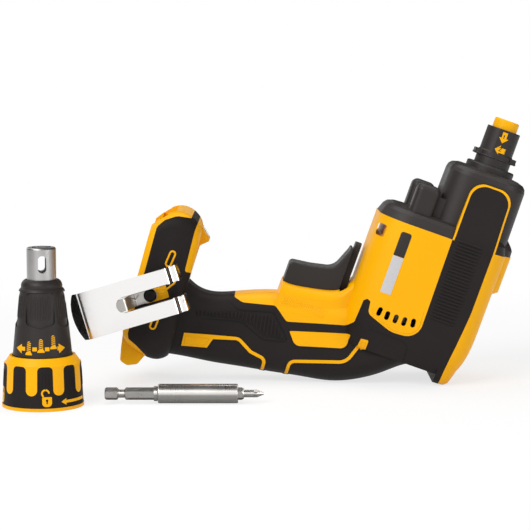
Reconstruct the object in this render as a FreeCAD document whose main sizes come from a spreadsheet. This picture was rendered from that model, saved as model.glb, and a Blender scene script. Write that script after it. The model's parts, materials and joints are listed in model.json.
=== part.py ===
"""Bare cordless drywall screwdriver standing on its back, with its depth-setting nose cone taken off and
stood beside it and its bit holder lying in front. Millimetres; +X right, +Y away, +Z up.

Tool frame: x runs across the barrel towards its top, y across the width, z along the spindle towards the
nose. Its origin is on the spindle's axis, at the seam between the housing and the gear case."""
import FreeCAD, Part
import math
import os
import re
import Sketcher
from fcgear import fcgear, involute

V = FreeCAD.Vector
ALONG_X = V(1, 0, 0)
ALONG_Y = V(0, 1, 0)
ALONG_Z = V(0, 0, 1)
HUGE = 400

doc = FreeCAD.newDocument("drywall_screwdriver")
sheet = doc.addObject("Spreadsheet::Sheet", "Sizes")

# Driving dimensions: name, value, meaning
SIZES = (
    ("tool_tilt", 19.5, "lean of the standing tool from upright, degrees"),
    ("gap", 0.3, "room between pieces that move past each other"),
    ("running_gap", 0.05, "radial clearance of a shaft in its bore"),
    ("seat_gap", 0.1, "room round a piece set into a pocket"),
    ("barrel_top", 25.2, "top of the barrel above the spindle's axis"),
    ("barrel_low", 56, "underside of the barrel below the spindle's axis"),
    ("barrel_half", 33, "half the barrel's width"),
    ("barrel_top_round", 16, "corner radius along the barrel's top"),
    ("barrel_low_round", 20, "corner radius along the barrel's underside"),
    ("barrel_straight", 40, "length of the barrel before it tapers"),
    ("barrel_length", 81, "length of the barrel behind the seam"),
    ("barrel_taper", 7, "how far the barrel's sides draw in at its rear end"),
    ("tail_reach", 86.3, "rear end of the tail lip behind the seam"),
    ("tail_low", 8.5, "lower edge of the tail lip above the spindle's axis"),
    ("bump_top", 29.6, "top of the pad on the barrel"),
    ("bump_half", 18, "half the pad's width"),
    ("bump_length", 22.6, "length of the pad's flat top"),
    ("bump_slope", 3.4, "length of the slope behind the pad"),
    ("grip_rear_round", 0.68, "corner radius at the handle's rear, as a share of its half width"),
    ("grip_front_round", 0.6, "corner radius at the handle's front, as a share of its half width"),
    ("grip_layer", 1.6, "thickness of the soft grip skin"),
    ("wall", 2.8, "thickness of the shell under the grip skin"),
    ("tongue_inner", 24.8, "inner face of the housing's side tongue from the mid-plane"),
    ("tongue_half", 28.6, "outer face of the side tongue near the nose"),
    ("tongue_length", 37.5, "reach of the side tongue past the seam"),
    ("tongue_border", 1.1, "amber border left round the tongue's grip"),
    ("guard_half", 17, "half the width of the trigger guard"),
    ("guard_round", 6, "corner radius of the trigger guard"),
    ("foot_lean", 3.92, "tilt of the foot's sole against the spindle, degrees"),
    ("foot_at_x", -181.2, "middle of the foot's sole across the barrel"),
    ("foot_at_z", -88.7, "middle of the foot's sole along the spindle"),
    ("foot_round", 9, "corner radius of the foot"),
    ("heel_half", 22, "half the width of the foot's heel"),
    ("prong_half", 9, "half the width of the lamp prong"),
    ("bay_depth", 12, "depth of the battery bay"),
    ("bay_half", 22, "half the width of the bay's mouth"),
    ("rail_half", 25.5, "half the width across the rail grooves"),
    ("rail_low", 4, "near side of the rail groove"),
    ("rail_high", 8, "far side of the rail groove"),
    ("bay_end", 26, "end wall of the bay from the sole's middle"),
    ("terminal_high", 9.6, "height of the terminal block under the bay's roof"),
    ("terminal_half", 14, "half the width of the terminal block"),
    ("terminal_long", 20, "length of the terminal block"),
    ("blade_pitch", 4, "distance between contact blades"),
    ("blade_thick", 0.8, "thickness of a contact blade"),
    ("blade_root", 8, "length of blade held in the block"),
    ("blade_free", 12, "length of blade in front of the block"),
    ("gear_module", 0.6, "module of the reduction gears"),
    ("pinion_teeth", 14, "teeth on the motor pinion"),
    ("gear_teeth", 56, "teeth on the drive gear"),
    ("mesh_gap", 0.1, "extra centre distance that gives backlash"),
    ("plate_depth", 10, "thickness of the gear plate"),
    ("plate_radius", 24, "radius of the gear plate"),
    ("plate_offset", 12, "centre of the gear plate below the spindle's axis"),
    ("plate_lip", 3, "plate left in front of the motor's front bearing"),
    ("bearing_radius", 8, "outside radius of the motor bearings"),
    ("bearing_width", 5, "width of the motor bearings"),
    ("shaft_radius", 2.5, "radius of the rotor shaft"),
    ("shaft_rear", 75, "rear end of the rotor shaft behind the seam"),
    ("stator_radius", 24, "outside radius of the stator"),
    ("stator_front", 24, "front face of the stator behind the seam"),
    ("stator_length", 34, "length of the stator stack"),
    ("stator_yoke", 4, "ring of the stator outside its slots"),
    ("stator_slots", 6, "number of stator slots"),
    ("rotor_radius", 12, "radius of the rotor"),
    ("air_gap", 0.6, "gap between rotor and stator"),
    ("coil_overhang", 4, "reach of the coils past each end of the stator"),
    ("motor_bore", 27.5, "radius of the room round the motor"),
    ("motor_room", 69, "rear wall of the motor's room behind the seam"),
    ("fan_radius", 22, "radius of the cooling fan"),
    ("fan_front", 12, "front of the fan behind the seam"),
    ("fan_width", 7, "width of the fan"),
    ("fan_blades", 11, "number of fan blades"),
    ("board_thick", 1.6, "thickness of the circuit boards"),
    ("lens_wide", 4.5, "half the width of the lamp's lens"),
    ("lens_high", 3.3, "half the height of the lamp's lens"),
    ("lens_thick", 2.2, "thickness of the lamp's lens"),
    ("lens_round", 1.2, "corner radius of the lamp's lens"),
    ("lens_pocket", 3.2, "depth of the pocket for lens and board"),
    ("gear_front", 12, "front face of the drive gear"),
    ("gear_width", 8, "face width of the drive gear"),
    ("dog_height", 2.5, "height of the clutch dogs"),
    ("dog_count", 3, "number of clutch dogs"),
    ("dog_half", 3.8, "half the width of one dog"),
    ("dog_inner", 8.5, "inner radius of the dogs"),
    ("dog_outer", 12.5, "outer radius of the dogs"),
    ("press_travel", 3.5, "travel of the spindle when it is pressed"),
    ("dog_bite", 0.5, "overlap of the dogs when the spindle is pressed in"),
    ("flange_thick", 4, "thickness of the clutch flange"),
    ("spring_radius", 6.6, "mean radius of the clutch spring"),
    ("spring_wire", 0.6, "radius of the spring wire"),
    ("spring_turns", 4, "turns of the clutch spring"),
    ("washer_thick", 1.5, "thickness of the thrust washer"),
    ("journal_radius", 4, "radius of the spindle's tail"),
    ("journal_rear", 4.5, "rear end of the spindle behind the seam"),
    ("spindle_radius", 6, "radius of the spindle's front shaft"),
    ("spindle_front", 74, "front end of the spindle"),
    ("hex_across", 6.35, "quarter-inch hexagon across flats"),
    ("hex_gap", 0.1, "room between hexagon and socket across flats"),
    ("socket_depth", 24, "depth of the spindle's hexagon socket"),
    ("bush_radius", 10, "outside radius of the spindle bush"),
    ("bush_wall", 4.6, "wall of the gear case in front of the spindle bush"),
    ("tail_bush_radius", 7, "outside radius of the tail bush"),
    ("tail_bush_length", 6, "length of the tail bush"),
    ("tower_half", 27, "half the width of the gear case's tower"),
    ("tower_top", 24, "top of the tower above the spindle's axis"),
    ("tower_low", 25.2, "underside of the tower below the spindle's axis"),
    ("tower_front", 44.6, "front face of the tower"),
    ("tower_round", 15, "corner radius of the tower"),
    ("tower_shoulder", 5.5, "how far the tower's front shoulder draws in"),
    ("boss_x", 33, "screw bosses below the spindle's axis"),
    ("boss_y", 19.5, "screw bosses from the mid-plane"),
    ("boss_half", 7.4, "half the width of a screw boss"),
    ("boss_front", 25.8, "front face of the screw bosses"),
    ("boss_round", 4, "corner radius of the screw bosses"),
    ("boss_sink", 3, "depth of the counterbores in the screw bosses"),
    ("boss_web", 5, "how far the web between boss and tower stays behind the boss's faces"),
    ("boss_screw_hold", 9, "length of the bosses' screws in the housing"),
    ("nose_base", 15, "radius of the nose's base ring"),
    ("nose_base_length", 3.9, "length of the base ring"),
    ("nose_neck", 11, "radius of the nose's neck"),
    ("nose_radius", 10.4, "radius of the nose"),
    ("nose_front", 72, "front end of the nose"),
    ("nose_flat", 9.8, "flats on the nose's sides from its axis"),
    ("nose_chamfer", 0.8, "length of the step from the nose's neck to the nose"),
    ("lug_radius", 13.1, "reach of the bayonet lugs"),
    ("lug_rear", 53.2, "rear face of the lugs"),
    ("lug_front", 56.6, "front face of the lugs"),
    ("lug_half", 6.8, "half the width of one lug"),
    ("ring_radius", 7.7, "radius of the spindle's collar"),
    ("ring_front", 78, "front end of the spindle's collar"),
    ("ring_mouth", 4.3, "radius of the collar's mouth"),
    ("trigger_half", 10, "half the trigger's width"),
    ("trigger_travel", 7, "travel of the trigger"),
    ("trigger_round", 1.2, "rounding of the trigger's edges"),
    ("trigger_rear", 75, "rear face of the trigger behind the seam"),
    ("stem_radius", 3, "radius of the trigger's stem"),
    ("stem_length", 13, "length of the trigger's stem"),
    ("stem_x", 80, "trigger stem below the spindle's axis"),
    ("switch_front", 85.5, "front face of the switch behind the seam"),
    ("lever_x", 58.5, "near face of the reversing lever below the axis"),
    ("lever_thick", 3.8, "thickness of the reversing lever"),
    ("lever_pivot", 66, "pivot of the reversing lever behind the seam"),
    ("lever_tip", 22.9, "tip of the reversing lever behind the seam"),
    ("lever_half", 5, "half the width of the lever's paddle"),
    ("lever_hub", 4, "radius of the lever's hub"),
    ("lever_pin_radius", 1.5, "radius of the lever's pin"),
    ("lever_pin_end", -50.5, "upper end of the lever's pin"),
    ("lever_slot_half", 14, "half the width of the lever's slot"),
    ("screw_radius", 1.5, "radius of the housing screws"),
    ("screw_head", 3, "radius of the housing screws' heads"),
    ("screw_head_high", 2.4, "height of the housing screws' heads"),
    ("screw_seat", 10, "seat of the heads from the mid-plane"),
    ("screw_depth", 12, "depth of the screws past the mid-plane"),
    ("clip_screw_radius", 2, "radius of the belt clip's screw"),
    ("clip_hole_depth", 7.5, "depth of the clip's threaded hole"),
    ("clip_screw_xf", 10.6, "clip screw from the sole"),
    ("clip_screw_zf", -4.2, "clip screw along the sole"),
    ("clip_turn", 35.9, "turn of the clip against the tool, degrees"),
    ("clip_thick", 1.5, "thickness of the clip's strip"),
    ("clip_half", 14.2, "half the clip's width"),
    ("clip_slot", 4.4, "half the slot between the clip's arms"),
    ("clip_height", 13, "outer face of the clip above the foot"),
    ("clip_far", 48, "far end of the clip from its screw"),
    ("clip_end_round", 19.4, "radius of the clip's far end"),
    ("clip_slot_end", 20, "inner end of the clip's slot from its screw"),
    ("clip_near", 20.8, "ends of the clip's arms from its screw"),
    ("cone_x", -250.3, "nose cone's axis from the spindle's seam, to the right"),
    ("cone_y", -84, "nose cone's axis from the mid-plane"),
    ("collar_base", 23.2, "radius of the locking collar's grip at its base"),
    ("collar_top", 22, "radius of the locking collar's grip at its top"),
    ("collar_skin", 1.2, "thickness of the collar's grip"),
    ("collar_height", 29.5, "height of the locking collar"),
    ("collar_lip", 1.9, "height of the collar's base lip"),
    ("collar_grip_top", 25.4, "top of the collar's grip"),
    ("collar_shoulder", 18.9, "radius of the collar's top face"),
    ("collar_bore", 17.5, "bore of the locking collar"),
    ("finger_count", 9, "number of fingers round the collar"),
    ("finger_turn", -10, "turn of the first finger from the front, degrees"),
    ("finger_half", 3.3, "half the width of a finger"),
    ("finger_low", 9, "lower tip of the fingers"),
    ("finger_root", 2.4, "radius in the corners between fingers and shoulder"),
    ("sleeve_mouth", 13.4, "bore of the cone's sleeve at its mouth"),
    ("sleeve_bore", 10.7, "bore of the cone's sleeve round the nose"),
    ("sleeve_mouth_depth", 14, "depth of the sleeve's mouth"),
    ("sleeve_bore_depth", 30, "depth of the sleeve's bore"),
    ("sleeve_neck", 12.2, "radius of the sleeve's neck"),
    ("sleeve_top", 57, "top of the sleeve"),
    ("depth_base", 17, "radius of the depth ring at its base"),
    ("depth_brow", 13.6, "radius of the depth ring at its brow"),
    ("depth_brow_at", 64, "height of the depth ring's brow"),
    ("depth_step", 11.7, "radius of the step above the brow"),
    ("depth_step_at", 68.4, "height of the step above the brow"),
    ("depth_top", 73, "top of the depth ring"),
    ("depth_top_radius", 9.5, "radius of the depth ring's top"),
    ("flute_count", 5, "number of finger panels round the depth ring"),
    ("flute_turn", 2, "turn of the first finger panel from the front, degrees"),
    ("flute_half", 8.2, "half the width of a finger panel"),
    ("flute_low", 46, "lower point of the finger panels"),
    ("flute_rise", 2.3, "rise of a panel's lower edge to its sides"),
    ("flute_high", 66.6, "upper edge of the finger panels"),
    ("flute_round", 2.5, "corner radius of the finger panels"),
    ("flute_depth", 0.9, "depth of the finger panels"),
    ("tube_radius", 8.4, "radius of the steel nosepiece"),
    ("tube_bore", 5.6, "bore of the steel nosepiece"),
    ("tube_low", 34, "lower end of the nosepiece"),
    ("tube_top", 91.4, "top of the nosepiece"),
    ("slot_half", 2.35, "half the width of the sight slot"),
    ("slot_turn", 10, "turn of the sight slot from the front, degrees"),
    ("slot_low", 77, "lower end of the sight slot"),
    ("slot_high", 87, "upper end of the sight slot"),
    ("holder_x", -215, "shank end of the bit holder from the seam"),
    ("holder_y", -80, "bit holder's axis from the mid-plane"),
    ("holder_radius", 5.7, "radius of the bit holder's sleeve"),
    ("holder_sleeve_at", 30.7, "start of the sleeve from the shank's end"),
    ("holder_sleeve_end", 77, "end of the sleeve from the shank's end"),
    ("holder_plug", 8, "length of shank held in the sleeve"),
    ("holder_ring", 4.3, "radius of the ring on the shank"),
    ("holder_ring_width", 2, "width of the ring on the shank"),
    ("groove_at", 6.6, "start of the shank's ball groove"),
    ("groove_width", 6.1, "width of the ball groove"),
    ("groove_radius", 2.4, "radius of the ball groove's floor"),
    ("bit_socket_depth", 18.5, "depth of the holder's socket"),
    ("magnet_radius", 2.6, "radius of the magnet"),
    ("magnet_length", 3, "length of the magnet"),
    ("bit_hex_end", 80.4, "end of the bit's hexagon"),
    ("bit_shaft", 2.2, "radius of the bit's shaft"),
    ("bit_end", 92, "tip of the bit"),
)

# Sections of the handle: name, place along x, rear and front along z, half width
GRIP = (
    ("root", -160, -126.5, -78, 20),
    ("neck", -147, -126, -81.5, 18.5),
    ("waist", -137, -124.4, -82.5, 17),
    ("palm", -122, -122.4, -77.5, 16.5),
    ("clasp", -105, -119.3, -70.4, 17),
    ("throat", -86, -116, -65, 17.6),
    ("swell", -66, -112.2, -60.5, 18.6),
    ("belly", -48, -108.5, -55, 20.5),
    ("web", -32, -101, -50, 23),
    ("saddle", -20, -92.4, -47, 24.5),
    ("arch", -11, -84.8, -45, 25),
    ("crown", -3, -81.2, -45, 25),
    ("tang", 6, -82.4, -45, 25),
)

# Sections of the foot: name, height above the sole, rear and front along the sole, half width
FOOT = (
    ("rim", 0, -32, 36.5, 28.5),
    ("sill", 6, -38.5, 43.6, 31),
    ("shoe", 15, -41.8, 48.6, 31.3),
    ("brow", 22, -42.7, 47.5, 31),
    ("shoulder", 28, -41, 43.3, 28),
    ("crest", 30.5, -39, 37, 24),
)


def fill_sheet():
    """Put every driving dimension into its own named cell."""
    rows = list(SIZES)
    for name, place, rear, front, half in GRIP + FOOT:
        rows.append((name + "_at", place, name + " section's place"))
        rows.append((name + "_rear", rear, name + " section's rear edge"))
        rows.append((name + "_front", front, name + " section's front edge"))
        rows.append((name + "_half", half, name + " section's half width"))
    for row, (alias, value, meaning) in enumerate(rows, 1):
        sheet.set("A%d" % row, meaning)
        sheet.set("B%d" % row, str(value))
        sheet.setAlias("B%d" % row, alias)
    doc.recompute()


def bound(formula):
    """A formula of sheet names as an expression on the sheet's cells."""
    return re.sub(r"[a-z][a-z_]+", r"Sizes.\g<0>", formula)


def size(formula):
    """The value of a sheet name, or of a formula of sheet names."""
    return float(sheet.evalExpression(bound(formula)))


fill_sheet()


# Moulded forms


def ring(lo, hi, half, round_lo, round_hi, to_space):
    """Closed outline with flat ends at lo and hi, flat sides at plus and minus half and round corners."""
    slant = math.sqrt(0.5)
    corners = (
        (lo + round_lo, half - round_lo, round_lo, (-1, 0), (0, 1)),
        (hi - round_hi, half - round_hi, round_hi, (0, 1), (1, 0)),
        (hi - round_hi, round_hi - half, round_hi, (1, 0), (0, -1)),
        (lo + round_lo, round_lo - half, round_lo, (0, -1), (-1, 0)),
    )
    arcs = []
    for a, y, radius, begin, end in corners:
        middle = (slant * (begin[0] + end[0]), slant * (begin[1] + end[1]))
        arcs.append([to_space(a + radius * way[0], y + radius * way[1]) for way in (begin, middle, end)])
    edges = []
    for i, (start, middle, end) in enumerate(arcs):
        edges.append(Part.Arc(start, middle, end).toShape())
        edges.append(Part.makeLine(end, arcs[(i + 1) % len(arcs)][0]))
    return Part.Wire(edges)


def ring_at_z(z, lo, hi, half, round_lo, round_hi):
    return ring(lo, hi, half, round_lo, round_hi, lambda a, y: V(a, y, z))


def ring_at_x(x, lo, hi, half, round_lo, round_hi):
    return ring(lo, hi, half, round_lo, round_hi, lambda a, y: V(x, y, a))


def outline(corners):
    """Closed wire in the XZ plane through (x, z, radius) corners, each rounded by its own radius."""
    spans = []
    count = len(corners)
    for i, (x, z, radius) in enumerate(corners):
        here = V(x, 0, z)
        before = V(corners[i - 1][0], 0, corners[i - 1][1])
        after = V(corners[(i + 1) % count][0], 0, corners[(i + 1) % count][1])
        if radius == 0:
            spans.append((here, None, here))
            continue
        back = (before - here).normalize()
        ahead = (after - here).normalize()
        half_angle = back.getAngle(ahead) / 2
        reach = radius / math.tan(half_angle)
        inward = (back + ahead).normalize()
        middle = here + inward * (radius / math.sin(half_angle) - radius)
        spans.append((here + back * reach, middle, here + ahead * reach))
    edges = []
    for i, (start, middle, end) in enumerate(spans):
        if middle is not None:
            edges.append(Part.Arc(start, middle, end).toShape())
        edges.append(Part.makeLine(end, spans[(i + 1) % count][0]))
    return Part.Wire(edges)


def slab(corners, low, high):
    """A side outline given its thickness from y = low to y = high."""
    face = Part.Face(outline(corners))
    face.translate(V(0, low, 0))
    return face.extrude(V(0, high - low, 0))


def ribbon(points, width):
    """Side outline of a band of even width along a line of points, with square ends."""
    left = []
    right = []
    for i, (x, z) in enumerate(points):
        here = V(x, 0, z)
        ways = []
        if i > 0:
            ways.append((here - V(points[i - 1][0], 0, points[i - 1][1])).normalize())
        if i < len(points) - 1:
            ways.append((V(points[i + 1][0], 0, points[i + 1][1]) - here).normalize())
        mean = sum(ways, V()).normalize()
        across = V(-mean.z, 0, mean.x) * (width / 2 / mean.dot(ways[0]))
        left.append((here.x + across.x, here.z + across.z, 0))
        right.append((here.x - across.x, here.z - across.z, 0))
    return left + right[::-1]


def box(x, y, z):
    """A box from three (low, high) pairs."""
    return Part.makeBox(x[1] - x[0], y[1] - y[0], z[1] - z[0], V(x[0], y[0], z[0]))


def rod(radius, low, high, x=0.0, y=0.0):
    """A cylinder along z."""
    return Part.makeCylinder(radius, high - low, V(x, y, low))


def cross_rod(radius, low, high, x, z):
    """A cylinder along y."""
    return Part.makeCylinder(radius, high - low, V(x, low, z), ALONG_Y)


def sector(inner, outer, low, high, middle, angle):
    """A piece of a ring about the z axis, with its middle and its angle in degrees."""
    face = Part.Face(Part.makePolygon([V(inner, 0, low), V(outer, 0, low), V(outer, 0, high),
                                       V(inner, 0, high), V(inner, 0, low)]))
    piece = face.revolve(V(), ALONG_Z, angle)
    piece.rotate(V(), ALONG_Z, middle - angle / 2)
    return piece


def hexagon(across, low, high):
    """A hexagonal bar along z, measured across its flats."""
    corner = across / math.sqrt(3)
    points = [V(corner * math.cos(math.radians(60 * i)), corner * math.sin(math.radians(60 * i)), low)
              for i in range(7)]
    return Part.Face(Part.makePolygon(points)).extrude(V(0, 0, high - low))


def barrel_form(inset):
    """The barrel, its sides drawn in towards the rear end, with the pad and the tail lip on its top."""
    straight = size("barrel_straight")
    length = size("barrel_length")
    taper = size("barrel_taper")
    rings = []
    for share in (-1, -0.5, 0, 0.3, 0.55, 0.75, 0.9, 1):
        drawn = taper * max(share, 0) ** 4 + inset
        end = straight * (1 + share) if share < 0 else straight + (length - inset - straight) * share
        rings.append(ring_at_z(-end, drawn - size("barrel_low"), size("barrel_top") - drawn,
                               size("barrel_half") - drawn, size("barrel_low_round") - drawn,
                               size("barrel_top_round") - drawn))
    return Part.makeLoft(rings, True, False)


def tail_form(inset):
    """The lip round the top of the barrel's rear end, which the tool stands on."""
    reach = size("tail_reach")
    length = size("barrel_length")
    rings = []
    for back, drawn in ((length - 8, 3.4), (length, 5.4), (reach - inset - 1.6, 6.6), (reach - inset, 8.6)):
        rings.append(ring_at_z(-back, drawn + inset - size("barrel_low"), size("barrel_top") - drawn - inset,
                               size("barrel_half") - drawn - inset, size("barrel_low_round") - drawn - inset,
                               size("barrel_top_round") - drawn - inset))
    keep = box((size("tail_low") + inset, HUGE), (-HUGE, HUGE), (-HUGE, HUGE))
    return Part.makeLoft(rings, True, True).common(keep)


def bump_form():
    """The pad on top of the barrel, behind the seam."""
    half = size("bump_half")
    flat = size("bump_length")
    rings = [ring_at_z(0, 0, size("bump_top"), half, 4, half / 2),
             ring_at_z(-flat, 0, size("bump_top"), half, 4, half / 2),
             ring_at_z(-flat - size("bump_slope"), 0, size("barrel_top") - 0.4, half, 4, half / 2)]
    return Part.makeLoft(rings, True, True)


def handle_form(inset, first, last):
    """The handle between two of its named sections."""
    names = [row[0] for row in GRIP]
    rings = []
    for name in names[names.index(first):names.index(last) + 1]:
        half = size(name + "_half") - inset
        rear = size(name + "_rear") + inset
        front = size(name + "_front") - inset
        rear_round = size("grip_rear_round") * (half + inset) - inset
        front_round = size("grip_front_round") * (half + inset) - inset
        rings.append(ring_at_x(size(name + "_at"), rear, front, half, rear_round, front_round))
    return Part.makeLoft(rings, True, False)


# Upper edge of the trigger guard: place along x, edge along z
GUARD_EDGE = ((-97.2, -59.6), (-86, -59.4), (-74, -57.2), (-66, -55), (-61, -52), (-57, -46.5), (-52, -38))


def guard_form():
    """The cup round the trigger, between handle and barrel."""
    half = size("guard_half")
    corner = size("guard_round")
    rings = [ring_at_x(x, -95, z, half, corner, corner) for x, z in GUARD_EDGE]
    return Part.makeLoft(rings, True, False)


def foot_place():
    """Place of the foot's own frame: x up from the sole, z along it towards the nose."""
    return FreeCAD.Placement(V(size("foot_at_x"), 0, size("foot_at_z")),
                             FreeCAD.Rotation(ALONG_Y, -size("foot_lean")))


def in_foot(shape):
    """The shape carried from the foot's frame to the tool's."""
    return shape.transformGeometry(foot_place().toMatrix())


# Side outlines in the foot's frame
HEEL = ((0, -30, 0), (1.6, -41.3, 12), (3.1, -49.5, 2.5), (8, -51, 3), (13.8, -48.6, 3), (17.6, -40.4, 2),
        (17, -28, 0))
PRONG = ((24, 46.6, 0), (27.6, 43.6, 3), (36.4, 34.6, 1), (31.2, 30.2, 2), (30.6, 14.6, 1.5), (24, 14.6, 0))


def foot_form(inset):
    """The foot without its heel and prong."""
    rings = []
    for name, *_ in FOOT:
        corner = size("foot_round") - inset
        rear = size(name + "_rear") + inset
        front = size(name + "_front") - inset
        half = size(name + "_half") - inset
        rings.append(ring_at_x(size(name + "_at"), rear, front, half, corner, corner))
    return in_foot(Part.makeLoft(rings, True, False))


def tongue_form(inset, border):
    """The housing's tongue that lies along the side of the gear case, both sides at once."""
    low = -10.8 + border
    high = 16.5 - border
    reach = size("tongue_length") - border
    face = slab(((low, -2, 0), (low + 0.9, reach, 9), (high - 0.7, reach, 9), (high, -2, 0)), -HUGE, HUGE)
    rings = []
    wide = size("barrel_half")
    narrow = size("tongue_half")
    for z, half in ((-2, wide), (6, wide - 0.6), (16, narrow + 1.6), (28, narrow),
                    (size("tongue_length") + 4, narrow - 2.5)):
        rings.append(ring_at_z(z, inset - size("barrel_low"), size("barrel_top") - inset, half - inset,
                               size("barrel_low_round") - inset, size("barrel_top_round") - inset))
    form = Part.makeLoft(rings, True, False)
    core = box((-HUGE, HUGE), (-size("tongue_inner"), size("tongue_inner")), (-HUGE, HUGE))
    return form.common(face).cut(core)


def moulded(inset):
    """The whole housing form, or the form under a skin of the given thickness."""
    form = barrel_form(inset).fuse([tail_form(inset), handle_form(inset, "root", "tang"), foot_form(inset)])
    if inset == 0:
        heel = in_foot(slab(HEEL, -size("heel_half"), size("heel_half")))
        prong = in_foot(slab(PRONG, -size("prong_half"), size("prong_half")))
        form = form.fuse([bump_form(), guard_form(), heel, prong])
    return form


# Side outline of the grip skin, in the tool's frame; points far out lie clear of the housing
GRIP_REGION = (
    (-175.6, -118.9, 2), (-180.2, -52.1, 5), (-177.1, -46.8, 3), (-170.8, -41.9, 8), (-162.4, -40.6, 0),
    (-161, -25, 0), (-122.4, -25, 0), (-121.9, -78.7, 1), (-116.1, -79.9, 6), (-96.6, -74.9, 3),
    (-92.3, -77.9, 3), (-87, -81.9, 3), (-52.3, -71.7, 3.5), (-48.8, -67, 2), (-48.2, -52.6, 0.8),
    (-46.4, -50.8, 0.8), (-44.2, -51.6, 0.8), (-43.2, -58.9, 4), (-26.5, -65, 16), (-9.9, -63.9, 9.5),
    (-10.8, -1, 0), (-10.8, 0.5, 0), (15.4, 0.5, 0), (15.4, -1, 0),
    (15.4, -39.2, 60), (12.8, -69.2, 40), (12.2, -87, 0), (12.2, -130, 0), (-157, -150, 0),
    (-161, -128.6, 0), (-168.4, -124.3, 4), (-174.2, -122, 1.5),
)
PRONG_REGION = ((-157.2, -20, 0), (-157.9, -47.5, 1), (-155.6, -72.2, 1.5), (-140, -72.2, 0), (-140, -20, 0))
# Amber inlays that show through the grip skin
PALM_PANEL = ((-143.4, -109, 1.5), (-141.9, -116.8, 2), (-127.7, -113.1, 2), (-126.1, -106.7, 1.5))
PALM_LINE = ((-127.5, -107.3), (-112.3, -101.8), (-109.3, -102.7), (-101.4, -107), (-93.2, -108),
             (-90.9, -111.1), (-90, -124))
WEB_LINE = ((-75.4, -120), (-76.5, -106), (-74.2, -103.2), (-47.8, -93.9), (-42.3, -87.4), (-41, -75.6))
WEB_TAB = ((-42, -75.2, 0.5), (-37, -74.6, 1), (-36.7, -80.9, 1), (-40.1, -83, 1), (-42, -83, 0.5))
LABEL_PANEL = ((-83.2, -87, 1.5), (-48.3, -75.9, 1.5), (-48.7, -83.9, 3), (-54, -87.6, 3), (-75.4, -93.4, 3))
INLAY_LINE = 2
# Vent slots in the barrel's sides: centre and turn in degrees
VENTS = ((-37.2, -55.4, 6), (-32, -56.2, 0), (-26.5, -56.4, 0), (-21.1, -56.2, 0), (-15.7, -55.3, -6))
VENT_LENGTH = 5.5
VENT_WIDTH = 2.8
# Housing screws: places in the tool's side view
SCREWS = ((17.5, -14), (17.5, -58), (-52, -37), (-38, -91), (-150, -118), (-158, -60))
SIDE_WINDOW = ((-54.6, -5.4, 1.2), (-49.8, -5.4, 1.2), (-49.8, -13, 1.2), (-54.6, -13, 1.2))


def vent_cuts():
    cuts = []
    half = VENT_WIDTH / 2
    long = VENT_LENGTH / 2
    for x, z, turn in VENTS:
        cut = slab(((-half, -long, half * 0.98), (half, -long, half * 0.98), (half, long, half * 0.98),
                    (-half, long, half * 0.98)), -HUGE, HUGE)
        cut.rotate(V(), ALONG_Y, turn)
        cut.translate(V(x, 0, z))
        cuts.append(cut)
    return cuts


# Motor axis across the barrel, from the spindle's axis
MOTOR_AXIS = "-gear_module * (pinion_teeth + gear_teeth) / 2 - mesh_gap"
# Rear face of the spindle's clutch flange, and of the bush in front of its washer
FLANGE = "gear_front + 2 * dog_height + press_travel - dog_bite"
BUSH = FLANGE + " + flange_thick + washer_thick + 2 * seat_gap"


def motor_x():
    return size(MOTOR_AXIS)


def motor_room():
    """Room in the housing for gear plate, fan, motor, board and rear bearing, with two stator ribs."""
    x = motor_x()
    bore = size("motor_bore")
    rear = -size("motor_room")
    snug = size("stator_radius + running_gap")
    front = -size("plate_depth")
    stator = -size("stator_front")
    rib = 4
    back_rib = stator - size("stator_length") + 9
    cuts = [rod(snug, rear, front, x),
            rod(bore, rear, back_rib, x),
            rod(bore, back_rib + rib, stator - 2 * rib, x),
            rod(bore, stator - rib, front, x),
            rod(size("bearing_radius"), -size("shaft_rear") - 1, rear, x),
            rod(size("plate_radius") + size("seat_gap"), front, 1, -size("plate_offset"))]
    return cuts


def handle_rooms():
    """Rooms in the handle for the switch, the control module, the trigger and the reversing lever."""
    room = handle_form(size("grip_layer + wall"), "neck", "swell")
    side = size("trigger_half + gap")
    lever_low = -size("lever_x + lever_thick + gap")
    trigger = box((-97.1, lever_low), (-side, side), (-size("trigger_rear + trigger_travel + 2"), 0))
    slot_side = size("lever_slot_half")
    lever = box((lever_low, -size("lever_x") + size("gap")), (-slot_side, slot_side),
                (-size("lever_pivot + lever_hub + 1"), 0))
    pin = Part.makeCylinder(size("lever_pin_radius"), size("lever_pin_end + lever_x"),
                            V(-size("lever_x"), 0, -size("lever_pivot")), ALONG_X)
    return [room, trigger, lever, pin]


def bay_cuts():
    """The battery bay in the sole, open at the front, with a rail groove in each side."""
    end = -size("bay_end")
    mouth = box((-5, size("bay_depth")), (-size("bay_half"), size("bay_half")), (end, HUGE))
    rails = box((size("rail_low"), size("rail_high")), (-size("rail_half"), size("rail_half")), (end, HUGE))
    limit = box((-5, size("bay_depth")), (-HUGE, HUGE), (-HUGE, 80))
    return [in_foot(mouth.fuse(rails).common(limit))]


def clip_point():
    """Centre of the belt clip's screw, in the tool's frame, on the mid-plane."""
    return foot_place().multVec(V(size("clip_screw_xf"), 0, size("clip_screw_zf")))


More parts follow.
